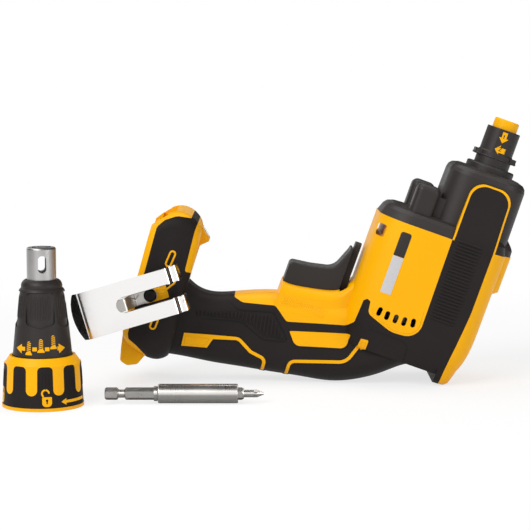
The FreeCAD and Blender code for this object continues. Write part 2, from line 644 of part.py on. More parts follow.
def build_housing():
    """Both half shells and both grip skins."""
    outer = moulded(0).fuse(tongue_form(0, 0))
    skin_core = moulded(size("grip_layer"))
    region = slab(GRIP_REGION, -HUGE, HUGE).cut(slab(PRONG_REGION, -HUGE, HUGE))
    inlays = [slab(PALM_PANEL, -HUGE, HUGE), slab(ribbon(PALM_LINE, INLAY_LINE), -HUGE, HUGE),
              slab(ribbon(WEB_LINE, INLAY_LINE), -HUGE, HUGE), slab(WEB_TAB, -HUGE, HUGE),
              slab(LABEL_PANEL, -HUGE, HUGE)]
    skin = outer.common(region).cut([skin_core] + inlays)
    tongue_skin = tongue_form(0, size("tongue_border")).cut(tongue_form(size("grip_layer"), 0))
    front = box((-HUGE, HUGE), (-HUGE, HUGE), (0, HUGE))
    skin = skin.cut(front).fuse(tongue_skin.common(front))
    shell = outer.cut(skin)
    point = clip_point()
    hole = size("clip_screw_radius")
    reach = size("shoe_half")
    holes = [cross_rod(hole, -reach - 2, size("clip_hole_depth") - reach, point.x, point.z),
             cross_rod(hole, reach - size("clip_hole_depth"), reach + 2, point.x, point.z),
             slab(SIDE_WINDOW, -HUGE, HUGE)]
    lens = in_foot(lens_pocket())
    for x, z in SCREWS:
        holes.append(cross_rod(size("screw_radius"), -size("screw_depth"), size("screw_seat"), x, z))
        holes.append(cross_rod(size("screw_head + seat_gap"), size("screw_seat"), HUGE, x, z))
    boss = size("boss_y")
    for y in (-boss, boss):
        holes.append(rod(size("screw_radius"), -size("boss_screw_hold"), 1, -size("boss_x"), y))
    shell = shell.cut(motor_room() + handle_rooms() + bay_cuts() + vent_cuts() + holes + [lens])
    skin = skin.cut(holes + bay_cuts())
    left = box((-HUGE, HUGE), (-HUGE, 0), (-HUGE, HUGE))
    right = box((-HUGE, HUGE), (0, HUGE), (-HUGE, HUGE))
    return shell.common(left), shell.common(right), skin.common(left), skin.common(right)


def lens_pocket():
    """Pocket for lamp lens and board in the prong's sloping face, in the foot's frame."""
    wide = size("lens_wide + seat_gap")
    high = size("lens_high + seat_gap")
    pocket = box((-size("lens_pocket"), size("lens_thick")), (-wide, wide), (-high, high))
    pocket.Placement = lens_place()
    return pocket


def lens_place():
    """Middle of the prong's sloping face: x out of the face, z down its slope."""
    return FreeCAD.Placement(V(32.2, 0, 38.9), FreeCAD.Rotation(ALONG_Y, -45.6))


# Document objects


def plain(label, shape):
    """A piece whose form comes from lofts, gear teeth or booleans of these."""
    feature = doc.addObject("Part::Feature", label)
    feature.Label = label
    feature.Shape = shape
    return feature


def new_body(label):
    body = doc.addObject("PartDesign::Body", label)
    body.Label = label
    return body


def corner_span(corners, i):
    """Tangent points and centre of the arc that rounds one corner of a sketch outline."""
    here = V(size(corners[i][0]), size(corners[i][1]), 0)
    if len(corners[i]) == 2:
        return here, None, here
    before = V(size(corners[i - 1][0]), size(corners[i - 1][1]), 0)
    following = corners[(i + 1) % len(corners)]
    after = V(size(following[0]), size(following[1]), 0)
    back = (before - here).normalize()
    ahead = (after - here).normalize()
    half_angle = back.getAngle(ahead) / 2
    radius = size(corners[i][2])
    reach = radius / math.tan(half_angle)
    centre = here + (back + ahead).normalize() * (radius / math.sin(half_angle))
    return here + back * reach, centre, here + ahead * reach


def sketch_on(body, role, corners, height="0"):
    """A sketch over one of the body's planes: formulas (across, up[, radius]) for each corner."""
    sketch = body.newObject("Sketcher::SketchObject", body.Name + "_outline")
    plane = [feature for feature in body.Origin.OriginFeatures if feature.Role == role][0]
    sketch.AttachmentSupport = [(plane, "")]
    sketch.MapMode = "FlatFace"
    sketch.setExpression("AttachmentOffset.Base.z", bound(height))
    count = len(corners)
    spans = [corner_span(corners, i) for i in range(count)]
    lines = [sketch.addGeometry(Part.LineSegment(spans[i][2], spans[(i + 1) % count][0]), False)
             for i in range(count)]
    for i, corner in enumerate(corners):
        line_in = lines[i - 1]
        line_out = lines[i]
        start, centre, end = spans[i]
        if centre is None:
            sketch.addConstraint(Sketcher.Constraint("Coincident", line_in, 2, line_out, 1))
            pin_point(sketch, line_out, corner)
            continue
        turn_left = (start - centre).cross(end - centre).z > 0
        first, last = (start, end) if turn_left else (end, start)
        radius = size(corner[2])
        begin_angle = math.atan2(first.y - centre.y, first.x - centre.x)
        end_angle = math.atan2(last.y - centre.y, last.x - centre.x)
        circle = Part.Circle(centre, ALONG_Z, radius)
        arc = sketch.addGeometry(Part.ArcOfCircle(circle, begin_angle, end_angle), False)
        into, out = (1, 2) if turn_left else (2, 1)
        sketch.addConstraint(Sketcher.Constraint("Tangent", line_in, 2, arc, into))
        sketch.addConstraint(Sketcher.Constraint("Tangent", arc, out, line_out, 1))
        bind(sketch, Sketcher.Constraint("Radius", arc, radius), corner[2])
        point = sketch.addGeometry(Part.Point(V(size(corner[0]), size(corner[1]), 0)), True)
        sketch.addConstraint(Sketcher.Constraint("PointOnObject", point, 1, line_in))
        sketch.addConstraint(Sketcher.Constraint("PointOnObject", point, 1, line_out))
        pin_point(sketch, point, corner)
    return sketch


def pin_point(sketch, geometry, corner):
    bind(sketch, Sketcher.Constraint("DistanceX", -1, 1, geometry, 1, size(corner[0])), corner[0])
    bind(sketch, Sketcher.Constraint("DistanceY", -1, 1, geometry, 1, size(corner[1])), corner[1])


def bind(sketch, constraint, formula):
    index = sketch.addConstraint(constraint)
    sketch.setExpression("Constraints[%d]" % index, bound(formula))


def turned(label, corners):
    """A turned piece: its half section as formulas (radius, height[, corner radius])."""
    body = new_body(label)
    revolution = body.newObject("PartDesign::Revolution", label + "_turning")
    sketch = sketch_on(body, "XZ_Plane", corners)
    revolution.Profile = sketch
    revolution.ReferenceAxis = (sketch, ["V_Axis"])
    revolution.Angle = 360
    body.Tip = revolution
    return body


def feature_on(body, kind, sketch, length, both_ways):
    """A Pad or Pocket of a sketch; one-way, a pad rises from the sketch and a pocket sinks below it."""
    feature = body.newObject(kind, body.Name + "_feature")
    feature.Profile = sketch
    feature.SideType = "Symmetric" if both_ways else "One side"
    feature.setExpression("Length", bound(length))
    body.Tip = feature
    return feature


def padded(label, role, corners, length):
    """A piece of even thickness, to both sides of its sketch's plane."""
    body = new_body(label)
    feature_on(body, "PartDesign::Pad", sketch_on(body, role, corners), length, True)
    return body


def raised(body, corners, height, length):
    """A pad that rises along z from the given height."""
    return feature_on(body, "PartDesign::Pad", sketch_on(body, "XY_Plane", corners, height), length, False)


def sunk(body, corners, height, depth):
    """A pocket that sinks along z from the given height."""
    return feature_on(body, "PartDesign::Pocket", sketch_on(body, "XY_Plane", corners, height), depth, False)


def cut_through(body, role, corners, length):
    """A pocket to both sides of one of the body's planes."""
    return feature_on(body, "PartDesign::Pocket", sketch_on(body, role, corners), length, True)


def rectangle(across_low, across_high, up_low, up_high):
    """Corners of a rectangle, as formulas."""
    return ((across_low, up_low), (across_high, up_low), (across_high, up_high), (across_low, up_high))


def hexagon_corners(across):
    """Corners of a hexagon with two corners on the sketch's x axis, as formulas."""
    shares = ((0.57735, 0), (0.288675, 0.5), (-0.288675, 0.5), (-0.57735, 0), (-0.288675, -0.5),
              (0.288675, -0.5))
    return [("%s * (%s)" % (a, across), "%s * (%s)" % (b, across)) for a, b in shares]


def repeated(body, feature, count):
    """The feature repeated evenly about the body's z axis."""
    pattern = body.newObject("PartDesign::PolarPattern", feature.Name + "_pattern")
    pattern.Originals = [feature]
    axis = [item for item in body.Origin.OriginFeatures if item.Role == "Z_Axis"][0]
    pattern.Axis = (axis, [""])
    pattern.Angle = 360
    pattern.setExpression("Occurrences", bound(count))
    body.Tip = pattern
    return pattern


def rounded(body, feature, radius, picked):
    """Fillet on the edges of a feature that the test picks."""
    doc.recompute()
    names = ["Edge%d" % (i + 1) for i, edge in enumerate(feature.Shape.Edges) if picked(edge)]
    fillet = body.newObject("PartDesign::Fillet", body.Name + "_fillet")
    fillet.Base = (feature, names)
    fillet.setExpression("Radius", bound(radius))
    body.Tip = fillet
    return fillet


def joined(kind, label, first, others):
    """A Part::Fuse or Part::Cut of document objects."""
    result = first
    for i, other in enumerate(others):
        step = doc.addObject(kind, "%s_step%d" % (label, i))
        step.Base = result
        step.Tool = other
        result = step
    result.Label = label
    return result


def solid_rod(name, radius, low, high, across):
    """A Part::Cylinder along z, its sizes and place given as formulas."""
    cylinder = doc.addObject("Part::Cylinder", name)
    cylinder.setExpression("Radius", bound(radius))
    cylinder.setExpression("Height", bound("(%s) - (%s)" % (high, low)))
    cylinder.setExpression("Placement.Base.x", bound(across))
    cylinder.setExpression("Placement.Base.z", bound(low))
    return cylinder


def solid_box(name, x, y, z):
    """A Part::Box from three (low, high) pairs of formulas."""
    block = doc.addObject("Part::Box", name)
    for side, base, (low, high) in (("Length", "x", x), ("Width", "y", y), ("Height", "z", z)):
        block.setExpression(side, bound("(%s) - (%s)" % (high, low)))
        block.setExpression("Placement.Base." + base, bound(low))
    return block


pieces = []


def put(piece, place=FreeCAD.Placement()):
    """Note a finished piece and its place in its own frame."""
    pieces.append((piece, place))
    return piece


# Pieces of the tool, in the tool's frame


def build_gear_case():
    """The front casing: flange, tower, two screw bosses, and rooms for gears, clutch and spindle bush."""
    rings = []
    for z, drawn in ((0, 0.4), (5, 2.2), (7.2, 4), (8.4, 7)):
        rings.append(ring_at_z(z, drawn - size("barrel_low"), size("barrel_top") - drawn,
                               size("barrel_half") - drawn, size("barrel_low_round") - drawn / 2,
                               size("barrel_top_round") - drawn))
    flange = Part.makeLoft(rings, True, True)
    half = size("bump_half")
    top = size("bump_top")
    rings = [ring_at_z(z, 0, top - drawn, half, 4, half / 2)
             for z, drawn in ((0, 0.4), (3.8, 0.6), (5.9, 2), (10, 6))]
    brow = Part.makeLoft(rings, True, True)
    front = size("tower_front")
    shoulder = size("tower_shoulder")
    rings = [ring_at_z(z, drawn - size("tower_low"), size("tower_top") - drawn, size("tower_half") - drawn,
                       size("tower_round") - drawn / 2, size("tower_round") - drawn / 2)
             for z, drawn in ((0, 0), (front - shoulder, 0.6), (front - 0.55 * shoulder, 1.2),
                              (front - 0.22 * shoulder, 0.5 * shoulder), (front, shoulder + 0.8))]
    tower = Part.makeLoft(rings, True, True)
    case = flange.fuse([brow, tower])
    boss_x = size("boss_x")
    boss_y = size("boss_y")
    reach = size("boss_half")
    boss_front = size("boss_front")
    bosses = []
    holes = []
    seat = boss_front - size("boss_sink")
    for y in (-boss_y, boss_y):
        block = box((-boss_x - reach, -boss_x + reach), (y - reach, y + reach), (0, boss_front))
        rims = [edge for edge in block.Edges if edge.BoundBox.ZMax > 1]
        bosses.append(block.makeFillet(size("boss_round"), rims))
        web = reach - size("boss_web")
        bosses.append(box((-boss_x, -size("tower_low") + 8), (y - web, y + web),
                          (0, boss_front - size("boss_web"))))
        holes.append(rod(size("screw_radius + seat_gap"), -1, boss_front, -boss_x, y))
        holes.append(rod(size("screw_head + seat_gap"), seat, boss_front + 1, -boss_x, y))
    case = case.fuse(bosses)
    room = size("gear_module * (gear_teeth + 2) / 2 + 0.6")
    dogs = size("gear_front + dog_height + 0.7")
    bush = size(BUSH)
    pinion_room = size("gear_module * (pinion_teeth + 2) / 2 + 0.6")
    rooms = [rod(room, -1, dogs), rod(pinion_room, -1, dogs, motor_x()),
             rod(size("dog_outer + 1.5"), -1, bush), rod(size("bush_radius"), -1, front - size("bush_wall")),
             rod(size("spindle_radius + 1"), -1, front + 1)]
    return case.cut(rooms + holes + [tongue_form(0, -size("seat_gap"))])


def gear_blank(teeth, low, high):
    """An involute gear about the z axis with a tooth on the x axis."""
    builder = fcgear.FCWireBuilder()
    involute.CreateExternalGear(builder, size("gear_module"), teeth, 25)
    wire = Part.Wire([item.toShape() for item in builder.wire])
    gear = Part.Face(wire).extrude(V(0, 0, high - low))
    gear.translate(V(0, 0, low))
    return gear


def build_drive_gear():
    front = size("gear_front")
    gear = gear_blank(int(size("gear_teeth")), front - size("gear_width"), front)
    half = size("dog_half")
    dogs = []
    for i in range(int(size("dog_count"))):
        dog = box((size("dog_inner"), size("dog_outer")), (-half, half), (front, front + size("dog_height")))
        dog.rotate(V(), ALONG_Z, 360 / size("dog_count") * i)
        dogs.append(dog)
    hub = rod(size("tail_bush_radius - 0.5"), size("gap"), front - size("gear_width"))
    return gear.fuse(dogs + [hub]).cut(rod(size("journal_radius + running_gap"), -HUGE, HUGE))


def build_pinion():
    teeth = int(size("pinion_teeth"))
    pinion = gear_blank(teeth, size("gear_front - gear_width - 0.5"), size("gear_front + 0.5"))
    pinion.rotate(V(), ALONG_Z, 180 / teeth)
    return pinion.cut(rod(size("shaft_radius"), -HUGE, HUGE))


def build_clutch_spring():
    """A coil between the drive gear and the clutch flange, an arc for each quarter turn."""
    radius = size("spring_radius")
    wire = size("spring_wire")
    low = size("gear_front") + wire + 0.1
    high = size(FLANGE) - wire - 0.1
    steps = int(size("spring_turns")) * 4
    edges = []
    for i in range(steps):
        angles = [math.radians(90 * (i + part)) for part in (0, 0.5, 1)]
        climbs = [low + (high - low) * (i + part) / steps for part in (0, 0.5, 1)]
        points = [V(radius * math.cos(a), radius * math.sin(a), z) for a, z in zip(angles, climbs)]
        edges.append(Part.Arc(*points).toShape())
    path = Part.Wire(edges)
    section = Part.Wire(Part.Circle(edges[0].valueAt(edges[0].FirstParameter),
                                    edges[0].tangentAt(edges[0].FirstParameter), wire).toShape())
    return path.makePipeShell([section], True, False)


def build_coils():
    """Coil ends over both ends of every stator tooth."""
    coils = []
    count = int(size("stator_slots"))
    over = size("coil_overhang")
    front = -size("stator_front")
    rear = front - size("stator_length")
    inner = size("rotor_radius + air_gap + 1")
    outer = size("stator_radius - stator_yoke")
    for i in range(count):
        for low in (rear - over, front):
            coils.append(sector(inner, outer, low, low + over, 360 / count * (i + 0.5), 42))
    return Part.makeCompound(coils)


def screw(radius, head, head_high, length):
    """A screw along z: its head rises from z = 0 with a hexagon recess, and its shank goes down."""
    shank = rod(radius, -length, 0)
    cap = rod(head, 0, head_high)
    cap = cap.makeFillet(0.5, [edge for edge in cap.Edges if edge.BoundBox.ZMin > head_high - 0.01])
    return shank.fuse(cap).cut(hexagon(head, head_high * 0.4, head_high + 1))


def build_housing_screws():
    """Screws from the right half into the left half."""
    screws = []
    for x, z in SCREWS:
        one = screw(size("screw_radius"), size("screw_head"), size("screw_head_high"),
                    size("screw_seat + screw_depth"))
        one.rotate(V(), ALONG_X, -90)
        one.translate(V(x, size("screw_seat"), z))
        screws.append(one)
    return Part.makeCompound(screws)


def build_case_screws():
    screws = []
    seat = size("boss_front - boss_sink")
    for side in (-1, 1):
        one = screw(size("screw_radius"), size("screw_head"), size("screw_head_high"),
                    seat + size("boss_screw_hold"))
        one.translate(V(-size("boss_x"), side * size("boss_y"), seat))
        screws.append(one)
    return Part.makeCompound(screws)


def build_belt_clip():
    """Sprung steel clip: two arms joined at the far end, and a tongue bent down to its screw.

    Its own frame: x along the clip towards its far end, y across, z out from the foot."""
    thick = size("clip_thick")
    plate = size("clip_height") - thick / 2
    half = size("clip_half")
    far = size("clip_far")
    near = size("clip_near")
    bend = ((-near + 0.6, 3.4), (-near + 1.6, plate - 3.5), (-near + 3, plate - 1), (-near + 6, plate),
            (far - 9, plate), (far - 4.5, plate - 1), (far - 1.6, plate - 3.4), (far - 0.7, plate - 7))
    arms = slab(ribbon(bend, thick), -half, half)
    slot = size("clip_slot")
    slot_end = size("clip_slot_end") - slot
    arms = arms.cut([box((-HUGE, slot_end), (-slot, slot), (-HUGE, HUGE)), rod(slot, -HUGE, HUGE, slot_end)])
    end = size("clip_end_round")
    straight = far - end + math.sqrt(end ** 2 - half ** 2)
    plan = box((-HUGE, straight), (-half, half), (-HUGE, HUGE)).fuse(rod(end, -HUGE, HUGE, far - end))
    arms = arms.common(plan)
    width = slot - 0.5
    bend = ((-6.5, thick / 2), (7, thick / 2), (9.5, 2.2), (19, plate - 1.6), (21.5, plate), (26, plate))
    tongue = slab(ribbon(bend, thick), -width, width)
    tongue = tongue.cut(rod(size("clip_screw_radius + seat_gap"), -1, 4))
    return arms.fuse(tongue)


def clip_place():
    """Place of the belt clip's frame on the left side of the foot."""
    point = clip_point()
    turn = math.radians(size("clip_turn"))
    along = V(-math.cos(turn), 0, -math.sin(turn))
    out = V(0, -1, 0)
    rotation = FreeCAD.Rotation(along, out.cross(along), out, "XZY")
    return FreeCAD.Placement(V(point.x, -size("shoe_half + gap"), point.z), rotation)


def build_tool():
    """Every piece of the tool, in the tool's frame."""
    at_motor = FreeCAD.Placement(V(motor_x(), 0, 0), FreeCAD.Rotation())
    at_foot = foot_place()
    left_shell, right_shell, left_skin, right_skin = build_housing()
    put(plain("left_housing", left_shell))
    put(plain("right_housing", right_shell))
    put(plain("left_overmould", left_skin))
    put(plain("right_overmould", right_skin))
    put(plain("gear_case", build_gear_case()))
    put(plain("housing_screws", build_housing_screws()))
    put(plain("gear_case_screws", build_case_screws()))

    nose = turned("nose_socket", (
        ("spindle_radius + 1", "tower_front"), ("nose_base", "tower_front"),
        ("nose_base", "tower_front + nose_base_length", "1.2"),
        ("nose_neck", "tower_front + nose_base_length"), ("nose_neck", "lug_front"),
        ("nose_radius", "lug_front + nose_chamfer"), ("nose_radius", "nose_front", "0.6"),
        ("ring_radius + gap", "nose_front"), ("ring_radius + gap", "tower_front + nose_base_length"),
        ("spindle_radius + 1", "tower_front + nose_base_length")))
    lug = raised(nose, (("nose_neck - 2", "-lug_half"), ("lug_radius", "-lug_half", "2.5"),
                        ("lug_radius", "lug_half", "2.5"), ("nose_neck - 2", "lug_half")),
                 "lug_rear", "lug_front - lug_rear")
    repeated(nose, lug, "2")
    flat = sunk(nose, rectangle("-nose_radius", "nose_radius", "nose_flat", "nose_base"), "nose_front",
                "nose_front - lug_front - nose_chamfer / 2")
    repeated(nose, flat, "2")
    put(nose)

    plate = solid_rod("gear_plate_disc", "plate_radius", "-plate_depth", "0", "-plate_offset")
    plate_holes = [
        solid_rod("front_bearing_seat", "bearing_radius", "-plate_depth", "-plate_lip", MOTOR_AXIS),
        solid_rod("shaft_hole", "shaft_radius + 1", "-plate_depth", "0", MOTOR_AXIS),
        solid_rod("tail_bush_seat", "tail_bush_radius", "-tail_bush_length", "0", "0"),
        solid_rod("tail_hole", "journal_radius + 0.6", "-plate_depth", "0", "0")]
    put(joined("Part::Cut", "gear_plate", plate, plate_holes))
    put(turned("motor_front_bearing", rectangle("shaft_radius + running_gap", "bearing_radius",
                                                "-plate_lip - bearing_width", "-plate_lip")), at_motor)
    put(turned("motor_rear_bearing", rectangle("shaft_radius + running_gap", "bearing_radius",
                                               "-shaft_rear", "bearing_width - shaft_rear")), at_motor)
    put(turned("spindle_tail_bush", rectangle("journal_radius + running_gap", "tail_bush_radius",
                                              "-tail_bush_length", "0")))
    put(turned("spindle_bush", rectangle("spindle_radius + running_gap", "bush_radius", BUSH,
                                          "tower_front - bush_wall")))
    washer = FLANGE + " + flange_thick + seat_gap"
    put(turned("thrust_washer", rectangle("spindle_radius + running_gap", "dog_outer - 0.5", washer,
                                          washer + " + washer_thick")))

    stator = turned("motor_stator", rectangle("rotor_radius + air_gap", "stator_radius",
                                              "-stator_front - stator_length", "-stator_front"))
    slot_outline = rectangle("rotor_radius - 2", "stator_radius - stator_yoke", "-2.2", "2.2")
    slot = cut_through(stator, "XY_Plane", slot_outline, "4 * stator_front + 4 * stator_length")
    repeated(stator, slot, "stator_slots")
    put(stator, at_motor)
    put(plain("stator_coils", build_coils()), at_motor)
    board = "stator_front + stator_length + coil_overhang + 1"
    put(turned("sensor_board", rectangle("shaft_radius + 3", "motor_bore - gap",
                                         "-(%s) - board_thick" % board, "-(%s)" % board)), at_motor)

    put(turned("rotor_shaft", (("0", "-shaft_rear"), ("shaft_radius", "-shaft_rear"),
                               ("shaft_radius", "gear_front + 0.5"), ("0", "gear_front + 0.5"))), at_motor)
    put(turned("rotor_core", rectangle("shaft_radius", "rotor_radius", "1 - stator_front - stator_length",
                                       "-stator_front - 1")), at_motor)
    fan = turned("cooling_fan", (
        ("shaft_radius", "-fan_front - fan_width"), ("shaft_radius + 3", "-fan_front - fan_width"),
        ("shaft_radius + 3", "-fan_front - 1.4"), ("fan_radius", "-fan_front - 1.4"),
        ("fan_radius", "-fan_front"), ("shaft_radius", "-fan_front")))
    blade = feature_on(fan, "PartDesign::Pad",
                       sketch_on(fan, "XZ_Plane", rectangle("shaft_radius + 2", "fan_radius - 0.4",
                                                            "-fan_front - fan_width", "-fan_front - 1")),
                       "1.4", True)
    repeated(fan, blade, "fan_blades")
    put(fan, at_motor)
    put(plain("motor_pinion", build_pinion()), at_motor)
    put(plain("drive_gear", build_drive_gear()))
    put(plain("clutch_spring", build_clutch_spring()))

    spindle = turned("output_spindle", (
        ("0", "-journal_rear"), ("journal_radius", "-journal_rear"), ("journal_radius", FLANGE),
        ("dog_outer + 0.5", FLANGE), ("dog_outer + 0.5", FLANGE + " + flange_thick"),
        ("spindle_radius", FLANGE + " + flange_thick"), ("spindle_radius", "spindle_front"),
        ("0", "spindle_front")))
    dog = raised(spindle, rectangle("-dog_outer", "-dog_inner", "-dog_half", "dog_half"),
                 FLANGE + " - dog_height", "dog_height")
    repeated(spindle, dog, "dog_count")
    sunk(spindle, hexagon_corners("hex_across + hex_gap"), "spindle_front", "socket_depth")
    put(spindle)
    put(turned("spindle_collar", (
        ("spindle_radius", "spindle_front - 10"), ("ring_radius", "spindle_front - 10"),
        ("ring_radius", "ring_front", "1.2"), ("ring_mouth", "ring_front"), ("ring_mouth", "spindle_front"),
        ("spindle_radius", "spindle_front"))))

    trigger = padded("trigger", "XZ_Plane", (
        ("-96.8", "-trigger_rear"), ("-96.8", "-47", "2.5"), ("-84", "-45.4", "40"), ("-70", "-42.4", "9"),
        ("-64.6", "-29", "6"), ("-64.2", "-27"), ("-lever_x - lever_thick - 2 * gap", "-27"),
        ("-lever_x - lever_thick - 2 * gap", "-trigger_rear")), "2 * trigger_half")
    rounded(trigger, trigger.Tip, "trigger_round", lambda edge: edge.BoundBox.YLength < 0.01
            and -size("trigger_rear") + 25 < edge.BoundBox.ZMin < edge.BoundBox.ZMax < -28)
    stem = rectangle("-stem_x - stem_radius", "stem_radius - stem_x", "-stem_radius", "stem_radius")
    raised(trigger, stem, "-trigger_rear - stem_length", "stem_length + 1")
    put(trigger)

    lever = padded("lever_blade", "YZ_Plane", (
        ("-lever_hub", "-lever_pivot - lever_hub", "lever_hub - 0.1"),
        ("lever_hub", "-lever_pivot - lever_hub", "lever_hub - 0.1"), ("lever_half", "-lever_tip - 18"),
        ("lever_half", "-lever_tip", "3"), ("-lever_half", "-lever_tip", "3"),
        ("-lever_half", "-lever_tip - 18")), "lever_thick")
    eye = doc.addObject("Part::Cylinder", "lever_eye")
    eye.Placement = FreeCAD.Placement(V(), FreeCAD.Rotation(ALONG_Y, 90))
    eye.setExpression("Radius", bound("lever_pin_radius + running_gap"))
    eye.setExpression("Height", bound("2 * lever_thick"))
    eye.setExpression("Placement.Base.x", bound("-lever_thick"))
    eye.setExpression("Placement.Base.z", bound("-lever_pivot"))
    at_lever = FreeCAD.Placement(V(-size("lever_x + lever_thick / 2"), 0, 0), FreeCAD.Rotation())
    put(joined("Part::Cut", "reversing_lever", lever, [eye]), at_lever)
    put(turned("lever_pin", rectangle("0", "lever_pin_radius", "-lever_x - lever_thick", "lever_pin_end")),
        FreeCAD.Placement(V(0, 0, -size("lever_pivot")), FreeCAD.Rotation(ALONG_Y, 90)))

    switch = padded("switch_module", "XZ_Plane", (
        ("-94", "-99", "2"), ("-66", "-97", "2"), ("-66", "-switch_front", "1"),
        ("-94", "-switch_front", "1")), "2 * (throat_half - grip_layer - wall - gap)")
    socket = rectangle("-stem_x - stem_radius - gap", "stem_radius + gap - stem_x", "-stem_radius - gap",
                       "stem_radius + gap")
    sunk(switch, socket, "-switch_front", "trigger_rear + stem_length + trigger_travel + gap - switch_front")
    put(switch)
    put(padded("control_module", "XZ_Plane", (
        ("-138", "-110", "2"), ("-104", "-106", "2"), ("-104", "-90", "2"), ("-138", "-94", "2")),
        "2 * (palm_half - grip_layer - wall - gap)"))

    block = solid_box("terminal_body", ("bay_depth - terminal_high", "bay_depth"),
                      ("-terminal_half", "terminal_half"), ("-bay_end", "terminal_long - bay_end"))
    put(joined("Part::Cut", "terminal_block", block, [blade_row("terminal_slots")]), at_foot)
    put(blade_row("terminal_blades"), at_foot)

    at_lens = at_foot.multiply(lens_place())
    put(padded("led_board", "XY_Plane", rectangle("-lens_wide", "lens_wide", "-lens_high", "lens_high"),
               "board_thick"), at_lens.multiply(lens_turn(size("board_thick / 2 - lens_pocket"))))
    lens = padded("led_lens", "XY_Plane", (
        ("-lens_wide", "-lens_high", "lens_round"), ("lens_wide", "-lens_high", "lens_round"),
        ("lens_wide", "lens_high", "lens_round"), ("-lens_wide", "lens_high", "lens_round")), "lens_thick")
    put(lens, at_lens.multiply(lens_turn(size("board_thick + lens_thick / 2 - lens_pocket"))))

    put(plain("belt_clip", build_belt_clip()), clip_place())
    put(turned("belt_clip_screw", (
        ("0", "-clip_hole_depth + 1"), ("clip_screw_radius", "-clip_hole_depth + 1"),
        ("clip_screw_radius", "clip_thick"), ("2 * clip_screw_radius", "clip_thick"),
        ("2 * clip_screw_radius", "clip_thick + 2", "1.4"), ("0", "clip_thick + 2"))), clip_place())


def blade_row(name):
    """The row of contact blades under the bay's roof, in the foot's frame."""
    blades = []
    for i in range(6):
        middle = "blade_pitch * %s" % (i - 2.5)
        height = ("bay_depth - terminal_high + 1.6", "bay_depth - 2")
        thickness = (middle + " - blade_thick / 2", middle + " + blade_thick / 2")
        length = ("terminal_long - blade_root - bay_end", "terminal_long + blade_free - bay_end")
        blades.append(solid_box("%s_%d" % (name, i), height, thickness, length))
    row = doc.addObject("Part::Compound", name)
    row.Links = blades
    return row


def lens_turn(out):
    """From a pad's frame to the lens face: its z axis out of the face, at the given depth."""
    return FreeCAD.Placement(V(out, 0, 0), FreeCAD.Rotation(ALONG_Y, V(), ALONG_X, "ZXY"))


# Nose cone, in its own frame: z up its axis from the surface that it stands on


def build_collar():
    """The locking collar with its fingers, and the grip moulded round them."""
    low = size("collar_lip")
    high = size("collar_grip_top")
    skin = size("collar_skin")
    base = size("collar_base")
    top = size("collar_top")
    core = Part.makeCone(base - skin, top - skin, high - low, V(0, 0, low))
    lip = rod(base + 0.3, 0, low)
    shoulder = Part.makeCone(top - skin + 0.9, size("collar_shoulder"), size("collar_height") - high,
                             V(0, 0, high))
    collar = core.fuse([lip, shoulder])
    layer = Part.makeCone(base, top, high - low, V(0, 0, low)).cut(core)
    half = size("finger_half")
    tip = size("finger_low")
    root = size("finger_root")
    wide = half + 2 * root
    above = high + 1
    finger = slab(((-half, tip, half * 0.98), (half, tip, half * 0.98), (half, high, root), (wide, high, 0),
                   (wide, above, 0), (-wide, above, 0), (-wide, high, 0), (-half, high, root)), -HUGE, 0)
    fingers = []
    count = int(size("finger_count"))
    for i in range(count):
        one = finger.copy()
        one.rotate(V(), ALONG_Z, 360 / count * i + size("finger_turn"))
        fingers.append(one)
    inlay = layer.common(fingers[0].fuse(fingers[1:]))
    collar = collar.fuse(inlay.Solids).cut(rod(size("collar_bore"), -1, HUGE))
    return collar, layer.cut(fingers)


def build_depth_ring():
    """The turning ring that sets the depth, with finger panels sunk into its cone."""
    low = size("collar_height + gap")
    brow = size("depth_brow_at")
    top = size("depth_top")
    base = size("depth_base")
    brow_radius = size("depth_brow")
    foot = V(base, 0, low)
    edge = V(brow_radius, 0, brow)
    step = V(size("depth_step"), 0, size("depth_step_at"))
    crown = V(size("depth_top_radius"), 0, top)
    over_brow = V((2 * edge.x + step.x) / 3 + 0.2, 0, (edge.z + step.z) / 2 + 0.4)
    over_step = V(step.x - 0.4, 0, (step.z + crown.z) / 2 + 0.6)
    edges = [Part.makeLine(foot, edge), Part.Arc(edge, over_brow, step).toShape(),
             Part.Arc(step, over_step, crown).toShape()]
    edges += list(Part.makePolygon([crown, V(0, 0, top), V(0, 0, low), foot]).Edges)
    form = Part.Face(Part.Wire(edges)).revolve(V(), ALONG_Z, 360)
    sunk_in = size("flute_depth")
    high = size("flute_high")
    draw = (base - brow_radius) / (brow - low)
    sunk_form = Part.makeCone(base - sunk_in, base - sunk_in - draw * (high - low), high - low, V(0, 0, low))
    half = size("flute_half")
    point = size("flute_low")
    side = size("flute_low + flute_rise")
    corner = size("flute_round")
    panel = slab(((-half, side, corner), (0, point, corner), (half, side, corner), (half, high, corner),
                  (-half, high, corner)), -HUGE, 0).cut(sunk_form)
    count = int(size("flute_count"))
    cuts = []
    for i in range(count):
        cut = panel.copy()
        cut.rotate(V(), ALONG_Z, 360 / count * i + size("flute_turn"))
        cuts.append(cut)
    form = form.cut(cuts)
    return form.cut([rod(size("sleeve_neck + gap"), low - 1, size("sleeve_top + 1.5")),
                     rod(size("tube_radius + gap"), low - 1, top + 1)])


